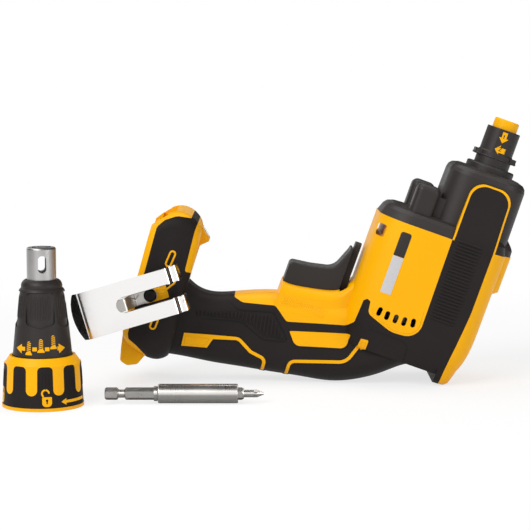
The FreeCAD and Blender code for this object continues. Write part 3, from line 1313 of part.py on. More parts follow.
def build_cone():
    """Every piece of the nose cone."""
    put(turned("cone_sleeve", (
        ("sleeve_mouth", "2 * gap"), ("collar_bore - gap", "2 * gap"),
        ("collar_bore - gap", "collar_height - 2 * gap", "1.5"), ("sleeve_neck", "collar_height - 2 * gap"),
        ("sleeve_neck", "sleeve_top"), ("tube_radius + gap", "sleeve_top"),
        ("tube_radius + gap", "sleeve_bore_depth"), ("sleeve_bore", "sleeve_bore_depth"),
        ("sleeve_bore", "sleeve_mouth_depth"), ("sleeve_mouth", "sleeve_mouth_depth"))))
    collar, grip = build_collar()
    put(plain("locking_collar", collar))
    put(plain("collar_grip", grip))
    put(plain("depth_ring", build_depth_ring()))
    tube = turned("nosepiece", (
        ("tube_bore", "tube_low"), ("tube_radius", "tube_low"), ("tube_radius", "tube_top", "1.2"),
        ("tube_bore", "tube_top")))
    cut_through(tube, "XZ_Plane", (("-slot_half", "slot_low", "slot_half * 0.98"),
                                   ("slot_half", "slot_low", "slot_half * 0.98"),
                                   ("slot_half", "slot_high", "slot_half * 0.98"),
                                   ("-slot_half", "slot_high", "slot_half * 0.98")), "4 * tube_radius")
    tube.Placement = FreeCAD.Placement(V(), FreeCAD.Rotation(ALONG_Z, size("slot_turn")))
    put(tube)


# Bit holder, in its own frame: z along its axis from the shank's end to the bit's tip


def build_bit():
    """Hexagon bit with a cross-head tip: a cone with four flutes."""
    hex_end = size("bit_hex_end")
    low = size("holder_sleeve_end - bit_socket_depth")
    end = size("bit_end")
    across = size("hex_across")
    radius = size("bit_shaft")
    taper = Part.makeCone(across * 0.72, radius, 4.4, V(0, 0, hex_end - 3))
    bar = hexagon(across, low, hex_end).common(taper.fuse(rod(across, low, hex_end - 3)))
    shaft = rod(radius, hex_end - 1, end - 4).fuse(Part.makeCone(radius, 0.6, 4, V(0, 0, end - 4)))
    flutes = []
    for i in range(4):
        flute = Part.makeCone(0.4, 2.2, 9, V(2.1, 0, end + 0.6), V(0.18, 0, -1))
        flute.rotate(V(), ALONG_Z, 45 + 90 * i)
        flutes.append(flute)
    return bar.fuse(shaft).cut([flute.common(box((-9, 9), (-9, 9), (end - 6, end + 2))) for flute in flutes])


def build_holder():
    """Every piece of the bit holder."""
    ring_at = "holder_sleeve_at - holder_ring_width - gap"
    shank = new_body("shank_bar")
    raised(shank, hexagon_corners("hex_across"), "0", "holder_sleeve_at + holder_plug")
    groove = turned("shank_groove", (
        ("groove_radius", "groove_at + 1.5"), ("hex_across", "groove_at - 2"),
        ("hex_across", "groove_at + groove_width + 2"), ("groove_radius", "groove_at + groove_width - 1.5")))
    point = turned("shank_point", (("hex_across / 2 - 0.3", "0"), ("hex_across", "0"),
                                   ("hex_across", "3.4")))
    put(joined("Part::Cut", "bit_holder_shank", shank, [groove, point]))
    put(turned("bit_holder_ring", rectangle("hex_across * 0.578", "holder_ring", ring_at,
                                            ring_at + " + holder_ring_width")))
    sleeve = turned("sleeve_bar", (
        ("0", "holder_sleeve_at"), ("holder_radius", "holder_sleeve_at", "0.8"),
        ("holder_radius", "holder_sleeve_end", "0.8"), ("0", "holder_sleeve_end")))
    sunk(sleeve, hexagon_corners("hex_across + hex_gap"), "holder_sleeve_end", "bit_socket_depth + hex_gap")
    sunk(sleeve, hexagon_corners("hex_across"), "holder_sleeve_at + holder_plug", "holder_plug")
    magnet_low = "holder_sleeve_end - bit_socket_depth - hex_gap - magnet_length"
    magnet_seat = solid_rod("magnet_seat", "magnet_radius", magnet_low, magnet_low + " + 2 * magnet_length",
                            "0")
    put(joined("Part::Cut", "bit_holder_sleeve", sleeve, [magnet_seat]))
    put(turned("bit_magnet", rectangle("0", "magnet_radius", magnet_low, magnet_low + " + magnet_length")))
    put(plain("bit_tip", build_bit()))


def place_all(tool_count, cone_count):
    """Stand the tool on its back, set the loose pieces on the same surface, and centre the whole on it."""
    doc.recompute()
    lean = FreeCAD.Placement(V(), FreeCAD.Rotation(ALONG_Y, size("tool_tilt")))
    for piece, place in pieces[:tool_count]:
        piece.Placement = lean.multiply(place).multiply(piece.Placement)
    floor = min(piece.Shape.optimalBoundingBox().ZMin for piece, _ in pieces[:tool_count])
    on_cone = FreeCAD.Placement(V(size("cone_x"), size("cone_y"), floor), FreeCAD.Rotation())
    lying = FreeCAD.Placement(V(size("holder_x"), size("holder_y"), floor + size("holder_radius")),
                              FreeCAD.Rotation(ALONG_Y, 90))
    for piece, place in pieces[tool_count:cone_count]:
        piece.Placement = on_cone.multiply(piece.Placement)
    for piece, place in pieces[cone_count:]:
        piece.Placement = lying.multiply(piece.Placement)
    boxes = [piece.Shape.optimalBoundingBox() for piece, _ in pieces]
    middle_x = (min(b.XMin for b in boxes) + max(b.XMax for b in boxes)) / 2
    middle_y = (min(b.YMin for b in boxes) + max(b.YMax for b in boxes)) / 2
    shift = FreeCAD.Placement(V(-middle_x, -middle_y, -floor), FreeCAD.Rotation())
    for piece, _ in pieces:
        piece.Placement = shift.multiply(piece.Placement)
    doc.recompute()
    return shift.Base


def check_and_export():
    """Stop on any failed object or bad solid, then write one file for each piece."""
    failed = [item.Name for item in doc.Objects if "Invalid" in item.State or "Error" in item.State]
    bad = [piece.Label for piece, _ in pieces if piece.Shape.isNull() or not piece.Shape.isValid()]
    if failed or bad:
        raise RuntimeError("failed objects %s, bad shapes %s" % (failed, bad))
    os.makedirs("parts", exist_ok=True)
    for piece, _ in pieces:
        piece.Shape.exportStep("parts/%s.step" % piece.Label)


build_tool()
tool_pieces = len(pieces)
build_cone()
cone_pieces = len(pieces)
build_holder()
origin = place_all(tool_pieces, cone_pieces)
check_and_export()
print("pieces", len(pieces), "seam origin at", tuple(round(v, 3) for v in origin))
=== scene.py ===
"""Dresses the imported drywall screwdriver: its finishes, moulded ribs, printed marks and sheet-steel clip,
on a pale studio floor. Metres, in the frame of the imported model; sizes in millimetres are times MM."""
import json
import math

import bmesh
import bpy
from mathutils import Matrix, Vector
from mathutils.bvhtree import BVHTree


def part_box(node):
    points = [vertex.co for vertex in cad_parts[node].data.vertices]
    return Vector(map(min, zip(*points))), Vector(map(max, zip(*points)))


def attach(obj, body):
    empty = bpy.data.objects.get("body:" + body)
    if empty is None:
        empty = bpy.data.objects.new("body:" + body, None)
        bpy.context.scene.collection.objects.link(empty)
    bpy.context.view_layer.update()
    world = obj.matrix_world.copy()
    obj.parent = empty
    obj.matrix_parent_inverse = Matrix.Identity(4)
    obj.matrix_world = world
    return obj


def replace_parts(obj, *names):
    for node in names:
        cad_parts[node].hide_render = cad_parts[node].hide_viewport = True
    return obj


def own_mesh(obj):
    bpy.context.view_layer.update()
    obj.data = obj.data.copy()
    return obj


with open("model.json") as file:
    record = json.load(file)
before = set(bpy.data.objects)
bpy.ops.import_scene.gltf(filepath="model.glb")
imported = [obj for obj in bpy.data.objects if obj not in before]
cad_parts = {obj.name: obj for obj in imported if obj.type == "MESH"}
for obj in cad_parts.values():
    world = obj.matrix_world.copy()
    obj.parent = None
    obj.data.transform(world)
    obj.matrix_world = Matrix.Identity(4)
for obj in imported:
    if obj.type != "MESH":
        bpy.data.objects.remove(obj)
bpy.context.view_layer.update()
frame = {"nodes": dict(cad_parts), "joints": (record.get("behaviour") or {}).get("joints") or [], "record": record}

MM = 0.001
NODES = frame["nodes"]
RECORD = frame["record"]
JOINTS = {joint["name"]: joint for joint in frame["joints"]}
SLOT_OF = {part["node"]: part["material_slot"] for part in RECORD["subparts"]}
BODY_OF = {node: body for body, members in RECORD["behaviour"]["bodies"].items() for node in members}


# Frames of the tool and of the nose cone


def tool_frame():
    """Origin on the spindle at the seam: x to the tool's top, y to its right side, z to its nose."""
    spin = JOINTS["gear_spin"]
    along = Vector(spin["axis"])
    side = Vector((0, 1, 0))
    columns = Matrix((side.cross(along), side, along)).transposed().to_4x4()
    return Matrix.Translation(spin["pos_m"]) @ columns


TOOL = tool_frame()
CONE = Matrix.Translation(JOINTS["lock_turn"]["pos_m"])


def on_tool(x, y, z):
    """A point of the tool, from millimetres in its own frame."""
    return TOOL @ (Vector((x, y, z)) * MM)


# Shader and geometry nodes


class Wire:
    """A socket in a node tree. Arithmetic on it adds Math nodes, and node() adds any other node."""

    def __init__(self, tree, socket=None):
        self.tree = tree
        self.socket = socket

    def node(self, kind, settings=None, sockets=None, output=0):
        """Add a node: its settings first, then the values or links of its sockets."""
        made = self.tree.nodes.new(kind)
        for name, value in (settings or {}).items():
            setattr(made, name, value)
        for name, value in (sockets or {}).items():
            if isinstance(value, Wire):
                self.tree.links.new(value.socket, made.inputs[name])
            else:
                made.inputs[name].default_value = value
        return Wire(self.tree, made.outputs[output] if made.outputs else None)

    def out(self, name):
        """Another output of the same node."""
        return Wire(self.tree, self.socket.node.outputs[name])

    def math(self, operation, first, second=0.0):
        """A Math node on one or two values."""
        return self.node("ShaderNodeMath", {"operation": operation}, {0: first, 1: second})

    def __add__(self, other):
        return self.math("ADD", self, other)

    def __radd__(self, other):
        return self.math("ADD", other, self)

    def __sub__(self, other):
        return self.math("SUBTRACT", self, other)

    def __rsub__(self, other):
        return self.math("SUBTRACT", other, self)

    def __mul__(self, other):
        return self.math("MULTIPLY", self, other)

    def __rmul__(self, other):
        return self.math("MULTIPLY", other, self)

    def __pow__(self, other):
        return self.math("POWER", self, other)


def bare_tree(owner):
    """A wire in the emptied node tree of a material or a world."""
    owner.use_nodes = True
    owner.node_tree.nodes.clear()
    return Wire(owner.node_tree)


def noise(place, scale, detail=2.0):
    """Soft noise from 0 to 1; scale is features for each metre."""
    return place.node("ShaderNodeTexNoise", {}, {"Vector": place, "Scale": scale, "Detail": detail})


def stretched(place, factors):
    """Coordinates squeezed along each axis, which draws a pattern out into streaks."""
    return place.node("ShaderNodeMapping", {}, {"Vector": place, "Scale": factors})


def between(share, low, high):
    """A colour that goes from low to high with the share."""
    return share.node("ShaderNodeMix", {"data_type": "RGBA"}, {0: share, 6: low, 7: high}, 2)


def grained(height, strength, depth):
    """A normal roughened by a height from 0 to 1 of the given depth in metres."""
    return height.node("ShaderNodeBump", {}, {"Height": height, "Strength": strength, "Distance": depth})


# Finishes

DRIFT_SCALE = 26.0
DRIFT_SHARE = 0.7
HANDLING_SCALE = 110.0
GRAIN_SHARE = 0.3
GRAIN_STRENGTH = 0.5
STAIN_SCALE = 60.0
STAIN_SHARE = 0.6
LINE_SHARE = 0.4
LINE_STRENGTH = 0.4
BROAD_ROUGHNESS = 0.12
FINE_ROUGHNESS = 0.10


def finish(name, fixed, paint):
    """A material: fixed values on the shader's own sockets, and what paint() says varies over the surface."""
    material = bpy.data.materials.new(name)
    wire = bare_tree(material)
    place = wire.node("ShaderNodeTexCoord", output="Object")
    shader = wire.node("ShaderNodeBsdfPrincipled", {}, {**fixed, **paint(place)})
    wire.node("ShaderNodeOutputMaterial", {}, {"Surface": shader})
    return material


def varied(rough, broad, fine):
    """A roughness that two noises vary about its own value."""
    mean = (BROAD_ROUGHNESS + FINE_ROUGHNESS) / 2
    return rough + BROAD_ROUGHNESS * broad + FINE_ROUGHNESS * fine - mean


def moulded(name, deep, pale, rough, grain_scale, grain_depth, specular=0.5, dark=None):
    """Moulded plastic or rubber: spark-eroded grain, a slow drift of colour and faint handling marks.
    dark(place), where given, is 1 where shade is painted into the colour, such as a gap that lies in shadow."""

    def paint(place):
        grain = noise(place, grain_scale, 3.0)
        drift = noise(place, DRIFT_SCALE)
        handled = noise(place, HANDLING_SCALE, 4.0)
        colour = between(DRIFT_SHARE * drift + GRAIN_SHARE * grain, deep, pale)
        return {
            "Base Color": between(dark(place), colour, PAINTED_GAP_SHADE) if dark else colour,
            "Roughness": varied(rough, handled, grain),
            "Normal": grained(grain, GRAIN_STRENGTH, grain_depth),
        }

    return finish(name, {"Specular IOR Level": specular}, paint)


def worked_metal(name, deep, pale, rough, streaks, streak_depth):
    """Metal with fine lines from its last working; streaks draws the noise out along each axis."""

    def paint(place):
        lines = noise(stretched(place, streaks), 1.0, 3.0)
        stain = noise(place, STAIN_SCALE, 3.0)
        return {
            "Base Color": between(STAIN_SHARE * stain + LINE_SHARE * lines, deep, pale),
            "Roughness": varied(rough, lines, stain),
            "Normal": grained(lines, LINE_STRENGTH, streak_depth),
        }

    return finish(name, {"Metallic": 1.0}, paint)


def board_mask():
    """Green solder mask over faint copper tracks."""

    def paint(place):
        tracks = place.node("ShaderNodeTexBrick", {}, {
            "Vector": place, "Scale": 260.0, "Mortar Size": 0.04, "Color1": (0.02, 0.12, 0.05, 1),
            "Color2": (0.025, 0.15, 0.06, 1), "Mortar": (0.07, 0.2, 0.07, 1)})
        return {"Base Color": tracks, "Roughness": 0.32 + 0.1 * noise(place, 900.0)}

    return finish("board", {}, paint)


def clear_lens():
    """Clear moulded lens over a white lamp, with a faint prismatic grain."""

    def paint(place):
        prism = noise(place, 900.0)
        return {
            "Base Color": between(prism, (0.80, 0.80, 0.76, 1), (0.95, 0.95, 0.92, 1)),
            "Roughness": 0.08 + 0.1 * prism,
            "Normal": grained(prism, 0.4, 0.0002),
        }

    return finish("clear_lens", {"Transmission Weight": 0.35, "IOR": 1.49, "Coat Weight": 0.6}, paint)


def label_foil():
    """Pale foil of the label on the barrel."""

    def paint(place):
        sheen = noise(place, 700.0)
        return {
            "Base Color": between(sheen, (0.48, 0.47, 0.48, 1), (0.58, 0.57, 0.58, 1)),
            "Roughness": 0.34 + 0.12 * sheen,
        }

    return finish("label_foil", {"Metallic": 0.2}, paint)


# Painted shade on the half shells: a thin leaning gap between the rubber skins, the walls of the vents, and the
# near-black colour painted there
GAP_LEAN = 3.92
GAP_ACROSS = (-157.0, -155.6)
GAP_ALONG = (-130.0, -78.0)
VENTS_ACROSS = (-43.0, -10.0)
VENTS_ALONG = (-61.0, -43.0)
VENT_WALL = 0.5
PAINTED_GAP_SHADE = (0.006, 0.005, 0.005, 1)


def within(place, direction, span):
    """1 where the distance from the spindle, along a direction of the tool's frame, is in a span."""
    way = TOOL.to_3x3() @ Vector(direction)
    reach = place.node("ShaderNodeVectorMath", {"operation": "DOT_PRODUCT"}, {0: place, 1: way}, "Value")
    low, high = (way.dot(TOOL.translation) + end * MM for end in span)
    return place.math("GREATER_THAN", reach, low) * place.math("LESS_THAN", reach, high)


def shell_shadows(place):
    """1 where shade is painted: in the thin gap between the rubber of the handle and of the foot, and on the walls
    of the vents.
    """
    lean = math.radians(GAP_LEAN)
    gap = within(place, (math.cos(lean), 0, math.sin(lean)), GAP_ACROSS)
    gap = gap * within(place, (0, 0, 1), GAP_ALONG)
    normal = place.node("ShaderNodeNewGeometry", output="True Normal")
    facing = place.node("ShaderNodeSeparateXYZ", {}, {0: normal}, "Y")
    walls = place.math("LESS_THAN", place.math("ABSOLUTE", facing), VENT_WALL)
    vents = walls * within(place, (1, 0, 0), VENTS_ACROSS) * within(place, (0, 0, 1), VENTS_ALONG)
    return place.math("MAXIMUM", gap, vents)


AMBER = ((0.82, 0.372, 0.0, 1), (0.93, 0.455, 0.0, 1), 0.40, 2600.0, 0.00006, 0.16)

FINISHES = {
    "amber_plastic": moulded("amber_plastic", *AMBER),
    "grip_rubber": moulded("grip_rubber", (0.0090, 0.0070, 0.0066, 1), (0.0185, 0.0145, 0.0138, 1), 0.60,
                           1900.0, 0.00010, 0.16),
    "black_plastic": moulded("black_plastic", (0.017, 0.0140, 0.0130, 1), (0.031, 0.0260, 0.0240, 1), 0.46,
                             2400.0, 0.00008, 0.26),
    "inner_plastic": moulded("inner_plastic", (0.0040, 0.0036, 0.0035, 1), (0.0090, 0.0080, 0.0078, 1), 0.65,
                             2000.0, 0.00008, 0.2),
    "satin_steel": worked_metal("satin_steel", (0.40, 0.39, 0.385, 1), (0.56, 0.555, 0.55, 1), 0.40,
                                (2200.0, 2200.0, 1500.0), 0.00006),
    "bright_steel": worked_metal("bright_steel", (0.74, 0.72, 0.70, 1), (0.84, 0.83, 0.81, 1), 0.19,
                                 (160.0, 3200.0, 3200.0), 0.00002),
    "dark_steel": worked_metal("dark_steel", (0.10, 0.10, 0.10, 1), (0.17, 0.165, 0.16, 1), 0.36,
                               (1600.0, 1600.0, 1600.0), 0.00004),
    "die_cast": worked_metal("die_cast", (0.48, 0.48, 0.49, 1), (0.60, 0.60, 0.61, 1), 0.48,
                             (1400.0, 1400.0, 1400.0), 0.00008),
    "copper": worked_metal("copper", (0.55, 0.20, 0.08, 1), (0.72, 0.30, 0.13, 1), 0.30,
                           (300.0, 300.0, 4200.0), 0.00010),
    "bronze": worked_metal("bronze", (0.46, 0.28, 0.10, 1), (0.58, 0.38, 0.16, 1), 0.42,
                           (2600.0, 2600.0, 2600.0), 0.00006),
    "board": board_mask(),
    "clear_lens": clear_lens(),
}
# Finishes of single pieces, where a slot's own finish doesn't suit them
LABEL_FOIL = label_foil()
# Amber of the half shells with painted shade, near black in the gap between the rubber skins and on the vent walls
SHELL_AMBER = moulded("shell_amber", *AMBER, shell_shadows)
SLEEVE_STEEL = worked_metal("sleeve_steel", (0.64, 0.62, 0.59, 1), (0.80, 0.78, 0.75, 1), 0.30,
                            (4200.0, 120.0, 120.0), 0.00002)
SHANK_STEEL = worked_metal("shank_steel", (0.62, 0.60, 0.575, 1), (0.78, 0.76, 0.73, 1), 0.30,
                           (900.0, 900.0, 900.0), 0.00003)
OXIDE_STEEL = worked_metal("oxide_steel", (0.010, 0.0095, 0.009, 1), (0.028, 0.026, 0.025, 1), 0.42,
                           (1600.0, 1600.0, 1600.0), 0.00004)
CLIP_STEEL = worked_metal("clip_steel", (0.90, 0.88, 0.865, 1), (0.95, 0.935, 0.925, 1), 0.20,
                          (260.0, 2600.0, 2600.0), 0.00001)
# Painted shade: the leaf is the clip's own sheet steel, made darker because it lies lower, in the shade of the
# plate
SHADED_LEAF_STEEL = worked_metal("shaded_leaf_steel", (0.40, 0.385, 0.365, 1), (0.56, 0.54, 0.515, 1), 0.30,
                          (260.0, 2600.0, 2600.0), 0.00002)
OWN_FINISH = {
    "bit_holder_sleeve": SLEEVE_STEEL, "bit_holder_shank": SHANK_STEEL, "bit_holder_ring": SHANK_STEEL,
    "bit_tip": SHANK_STEEL, "belt_clip_screw": OXIDE_STEEL, "belt_clip": CLIP_STEEL,
    "left_housing": SHELL_AMBER, "right_housing": SHELL_AMBER,
}


def dress(piece, material):
    """Give an object one material."""
    piece.data.materials.clear()
    piece.data.materials.append(material)


for node_name, node_object in NODES.items():
    dress(node_object, OWN_FINISH.get(node_name, FINISHES[SLOT_OF[node_name]]))


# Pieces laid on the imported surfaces

SIDE_REACH = 80
ROUND_REACH = 60
BEAD_SIDES = 12
BEAD_STEP = 0.6
BEAD_DROP_STEP = 0.8
BEAD_THINNING = 0.8
END_SHARPNESS = 6.0
MARK_STEP = 1.0
MARK_SINK = 0.3
WELD = 1e-4
SHARP_ANGLE = 32


def linked(name, data):
    """A new object in the scene."""
    made = bpy.data.objects.new(name, data)
    bpy.context.scene.collection.objects.link(made)
    return made


def keep(name, mesh, material, body, slot):
    """Link a finished mesh as a piece that rides on a body."""
    mesh.name = name
    piece = linked(name, mesh)
    dress(piece, material)
    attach(piece, body)
    return piece


def surface_of(*nodes):
    """What a ray can hit: the faces of some CAD nodes."""
    points = []
    faces = []
    for node in nodes:
        mesh = NODES[node].data
        first = len(points)
        points.extend(vertex.co.copy() for vertex in mesh.vertices)
        faces.extend([first + index for index in face.vertices] for face in mesh.polygons)
    return BVHTree.FromPolygons(points, faces)


def from_side(side):
    """Rays that meet the tool from its left (-1) or right (1) side, for (x, z) in its own frame."""

    def ray(x, z):
        return on_tool(x, side * SIDE_REACH, z), Vector((0, -side, 0))

    return ray


def round_axis(place, reach):
    """Rays that meet a turned piece square to its axis: (arc in millimetres at a radius of reach, height)."""

    def ray(arc, height):
        turn = arc / reach
        out = Vector((math.sin(turn), -math.cos(turn), 0))
        point = Vector((0, 0, height * MM)) + out * (ROUND_REACH * MM)
        return place @ point, -(place.to_3x3() @ out)

    return ray


def lines_on_surface():
    """Tree: beads along a mesh's edges, thinned at their ends."""
    tree = bpy.data.node_groups.new("beads_on_surface", "GeometryNodeTree")
    sockets = (("Lines", "NodeSocketGeometry"), ("Radius", "NodeSocketFloat"), ("Step", "NodeSocketFloat"),
               ("Thinning", "NodeSocketFloat"), ("Material", "NodeSocketMaterial"))
    for label, kind in sockets:
        tree.interface.new_socket(label, in_out="INPUT", socket_type=kind)
    tree.interface.new_socket("Beads", in_out="OUTPUT", socket_type="NodeSocketGeometry")
    given = Wire(tree).node("NodeGroupInput")
    curves = given.node("GeometryNodeMeshToCurve", {}, {"Mesh": given.out("Lines")})
    curves = given.node("GeometryNodeResampleCurve", {"mode": "LENGTH"},
                        {"Curve": curves, "Length": given.out("Step")})
    share = given.node("GeometryNodeSplineParameter", output="Factor")
    ends = given.math("ABSOLUTE", 2.0 * share - 1.0) ** END_SHARPNESS
    width = given.out("Radius") * (1.0 - given.out("Thinning") * ends)
    profile = given.node("GeometryNodeCurvePrimitiveCircle", {}, {"Resolution": BEAD_SIDES, "Radius": 1.0})
    beads = given.node("GeometryNodeCurveToMesh", {},
                       {"Curve": curves, "Profile Curve": profile, "Scale": width, "Fill Caps": True})
    beads = given.node("GeometryNodeSetShadeSmooth", {}, {"Geometry": beads})
    beads = given.node("GeometryNodeRealizeInstances", {}, {"Geometry": beads})
    beads = given.node("GeometryNodeSetMaterial", {}, {"Geometry": beads, "Material": given.out("Material")})
    given.node("NodeGroupOutput", {}, {"Beads": beads})
    return tree


BEADS = lines_on_surface()


def plain_mesh(holder):
    """The mesh of an object with its modifiers or its curve worked out."""
    graph = bpy.context.evaluated_depsgraph_get()
    return bpy.data.meshes.new_from_object(holder.evaluated_get(graph), depsgraph=graph)


def grown(tree, source, values):
    """The plain mesh that a tree makes from a source mesh."""
    holder = linked("source", source)
    modifier = holder.modifiers.new("grow", "NODES")
    modifier.node_group = tree
    for item in tree.interface.items_tree:
        if item.in_out == "INPUT" and item.name in values:
            modifier[item.identifier] = values[item.name]
    mesh = plain_mesh(holder)
    holder.modifiers.remove(modifier)
    bpy.data.objects.remove(holder)
    return mesh


def finely(line, closed, step):
    """A polyline's points with more put between them, at most a step apart."""
    points = [Vector(point) for point in line]
    if closed:
        points.append(points[0])
    fine = []
    for here, there in zip(points, points[1:]):
        parts = max(1, math.ceil((there - here).length / step))
        fine.extend(here.lerp(there, i / parts) for i in range(parts))
    if not closed:
        fine.append(points[-1])
    return fine


def beads(name, lines, where, slot, bead, closed=False, thinning=BEAD_THINNING):
    """Raised lines on a surface: flat lines in millimetres, dropped on it and swept with a round section.
    Where is the rays, the surface that they meet and its body. A bead is its radius and how deep it lies."""
    ray, surface, body = where
    radius, sink = bead
    points = []
    pairs = []
    for line in lines:
        run = []
        for flat in finely(line, closed, BEAD_DROP_STEP):
            hit, normal = surface.ray_cast(*ray(*flat))[:2]
            if hit is not None:
                run.append(hit - normal * (sink * MM))
        first = len(points)
        points.extend(run)
        pairs.extend((first + i, first + i + 1) for i in range(len(run) - 1))
        if closed:
            pairs.append((first + len(run) - 1, first))
    source = bpy.data.meshes.new(name)
    source.from_pydata(points, pairs, [])
    material = FINISHES[slot]
    mesh = grown(BEADS, source, {"Radius": radius * MM, "Step": BEAD_STEP * MM, "Material": material,
                                 "Thinning": 0.0 if closed else thinning})
    return keep(name, mesh, material, body, slot)


def filled(loops):
    """A flat mesh inside closed loops of (x, y) points; a loop inside another is a hole."""
    curve = bpy.data.curves.new("loops", "CURVE")
    curve.dimensions = "2D"
    curve.fill_mode = "FRONT"
    for loop in loops:
        spline = curve.splines.new("POLY")
        spline.points.add(len(loop) - 1)
        for point, (x, y) in zip(spline.points, loop):
            point.co = (x, y, 0, 1)
        spline.use_cyclic_u = True
    holder = linked("loops", curve)
    mesh = plain_mesh(holder)
    bpy.data.objects.remove(holder)
    return mesh


def cut_shape(loops, step):
    """A flat shape inside closed loops, cut along a grid so that it can follow a round surface."""
    shape = bmesh.new()
    shape.from_mesh(filled(loops))
    bmesh.ops.remove_doubles(shape, verts=shape.verts, dist=WELD)
    for axis in (Vector((1, 0, 0)), Vector((0, 1, 0))):
        reach = [vertex.co.dot(axis) for vertex in shape.verts]
        low = min(reach)
        count = math.ceil((max(reach) - low) / step)
        for i in range(1, count):
            parts = shape.verts[:] + shape.edges[:] + shape.faces[:]
            place = axis * (low + (max(reach) - low) * i / count)
            bmesh.ops.bisect_plane(shape, geom=parts, plane_co=place, plane_no=axis)
    return shape


def to_mesh(name, shape):
    """The mesh of a finished shape."""
    mesh = bpy.data.meshes.new(name)
    shape.to_mesh(mesh)
    shape.free()
    return mesh


def smooth_mesh(name, shape):
    """The mesh of a finished shape, smooth up to its sharp edges."""
    for face in shape.faces:
        face.smooth = True
    mesh = to_mesh(name, shape)
    mesh.set_sharp_from_angle(angle=math.radians(SHARP_ANGLE))
    return mesh


def marks(name, loops, where, slot, height, step=MARK_STEP, sink=MARK_SINK, material=None):
    """A flat shape in millimetres laid on a surface, standing a little proud of it and closed underneath."""
    ray, surface, body = where
    shape = cut_shape(loops, step)
    missed = []
    for vertex in shape.verts:
        hit, normal = surface.ray_cast(*ray(vertex.co.x, vertex.co.y))[:2]
        if hit is None:
            missed.append(vertex)
        else:
            vertex.co = hit + normal * (height * MM)
    bmesh.ops.delete(shape, geom=missed, context="VERTS")
    toward = ray(0, 0)[1]
    shape.normal_update()
    facing = sum((face.normal * face.calc_area() for face in shape.faces), Vector())
    if facing.dot(toward) > 0:
        bmesh.ops.reverse_faces(shape, faces=shape.faces)
    bmesh.ops.solidify(shape, geom=shape.faces[:], thickness=(height + sink) * MM)
    bmesh.ops.recalc_face_normals(shape, faces=shape.faces)
    return keep(name, to_mesh(name, shape), material or FINISHES[slot], body, slot)


# Outlines and paths


def arc(centre, radius, first, last, count):
    """Points on an arc, with its angles in degrees."""
    turns = [math.radians(first + (last - first) * i / count) for i in range(count + 1)]
    return [(centre[0] + radius * math.cos(turn), centre[1] + radius * math.sin(turn)) for turn in turns]


def rounded(corners, closed=True, count=6):
    """Points of an outline of (x, y, radius) corners, each rounded by its own radius."""
    points = []
    for i, (x, y, radius) in enumerate(corners):
        here = Vector((x, y))
        if radius == 0 or (not closed and i in (0, len(corners) - 1)):
            points.append((x, y))
            continue
        back = (Vector(corners[i - 1][:2]) - here).normalized()
        ahead = (Vector(corners[(i + 1) % len(corners)][:2]) - here).normalized()
        half = back.angle(ahead) / 2
        middle = here + (back + ahead).normalized() * (radius / math.sin(half))
        start = here + back * (radius / math.tan(half)) - middle
        swing = math.copysign(math.pi - 2 * half, back.y * ahead.x - back.x * ahead.y)
        for step in range(count + 1):
            angle = swing * step / count
            cos, sin = math.cos(angle), math.sin(angle)
            points.append((middle.x + start.x * cos - start.y * sin,
                           middle.y + start.x * sin + start.y * cos))
    return points


def band(line, half):
    """Both edges of a strip along a line of (x, y) points: the edge on its left and the edge on its right."""
    points = [Vector(point) for point in line]
    left, right = [], []
    for i, here in enumerate(points):
        way = (points[min(i + 1, len(points) - 1)] - points[max(i - 1, 0)]).normalized()
        aside = Vector((-way.y, way.x)) * half
        left.append(tuple(here + aside))
        right.append(tuple(here - aside))
    return left, right


def outset(loop, reach):
    """A closed outline moved outwards."""
    points = [Vector(point) for point in loop]
    turns = zip(points[-1:] + points[:-1], points, points[1:] + points[:1])
    area = sum(here.x * there.y - there.x * here.y for here, there in zip(points, points[1:] + points[:1]))
    out = math.copysign(reach, area)
    moved = []
    for before, here, after in turns:
        way = (after - before).normalized()
        moved.append((here.x + way.y * out, here.y - way.x * out))
    return moved


def turned_by(points, degrees, shift):
    """Flat points turned about the origin and then moved."""
    cos, sin = math.cos(math.radians(degrees)), math.sin(math.radians(degrees))
    return [(x * cos - y * sin + shift[0], x * sin + y * cos + shift[1]) for x, y in points]


def crossings(loop, start, way):
    """Where a straight line enters and leaves a closed outline, as pairs of points."""
    across = Vector((-way.y, way.x))
    places = []
    for a, b in zip(loop, loop[1:] + loop[:1]):
        here, there = Vector(a) - start, Vector(b) - start
        side_a, side_b = here.dot(across), there.dot(across)
        if (side_a > 0) != (side_b > 0):
            places.append(here.lerp(there, side_a / (side_a - side_b)).dot(way))
    places.sort()
    return [(start + way * a, start + way * b) for a, b in zip(places[::2], places[1::2])]


# Moulded details of the grip and the housing

STRIPE_RIBS = 25
STRIPE_PITCH = 2.05
STRIPE_TOP = 0.6
STRIPE_SPAN = (-8.2, 9.2)
STRIPE_BEAD = (1.0, 0.4)
STRIPE_THINNING = 0.5
GRIP_PANEL = ((-143.1, -92.4, 1), (-130, -89, 8), (-116.1, -84.1, 8), (-97, -79.1, 3), (-92.8, -82.4, 3),
              (-82, -94.4, 1.5), (-97, -97.7, 4), (-105.1, -93.4, 5), (-113.3, -92.1, 8), (-140.4, -98.2, 2))
# Line of the groove at the panel's edge, drawn as a bead of painted shade
PANEL_EDGE = ((-128, -79.8, 0), (-117, -85.1, 6), (-96.1, -79.1, 3), (-82.9, -92, 2), (-85, -94.5, 1.5),
              (-96.9, -97.4, 4), (-112, -91.5, 7), (-117.8, -92.3, 3), (-140, -98.6, 0))
PANEL_EDGE_BEAD = (0.55, 0.25)
GRIP_RIB_WAY = Vector((-0.19, 0.98)).normalized()
GRIP_RIB_START = Vector((-150, -90))
GRIP_RIBS = 40
GRIP_RIB_PITCH = 2.3
GRIP_RIB_INSET = 1.3
GRIP_RIB_BEAD = (1.0, 0.45)
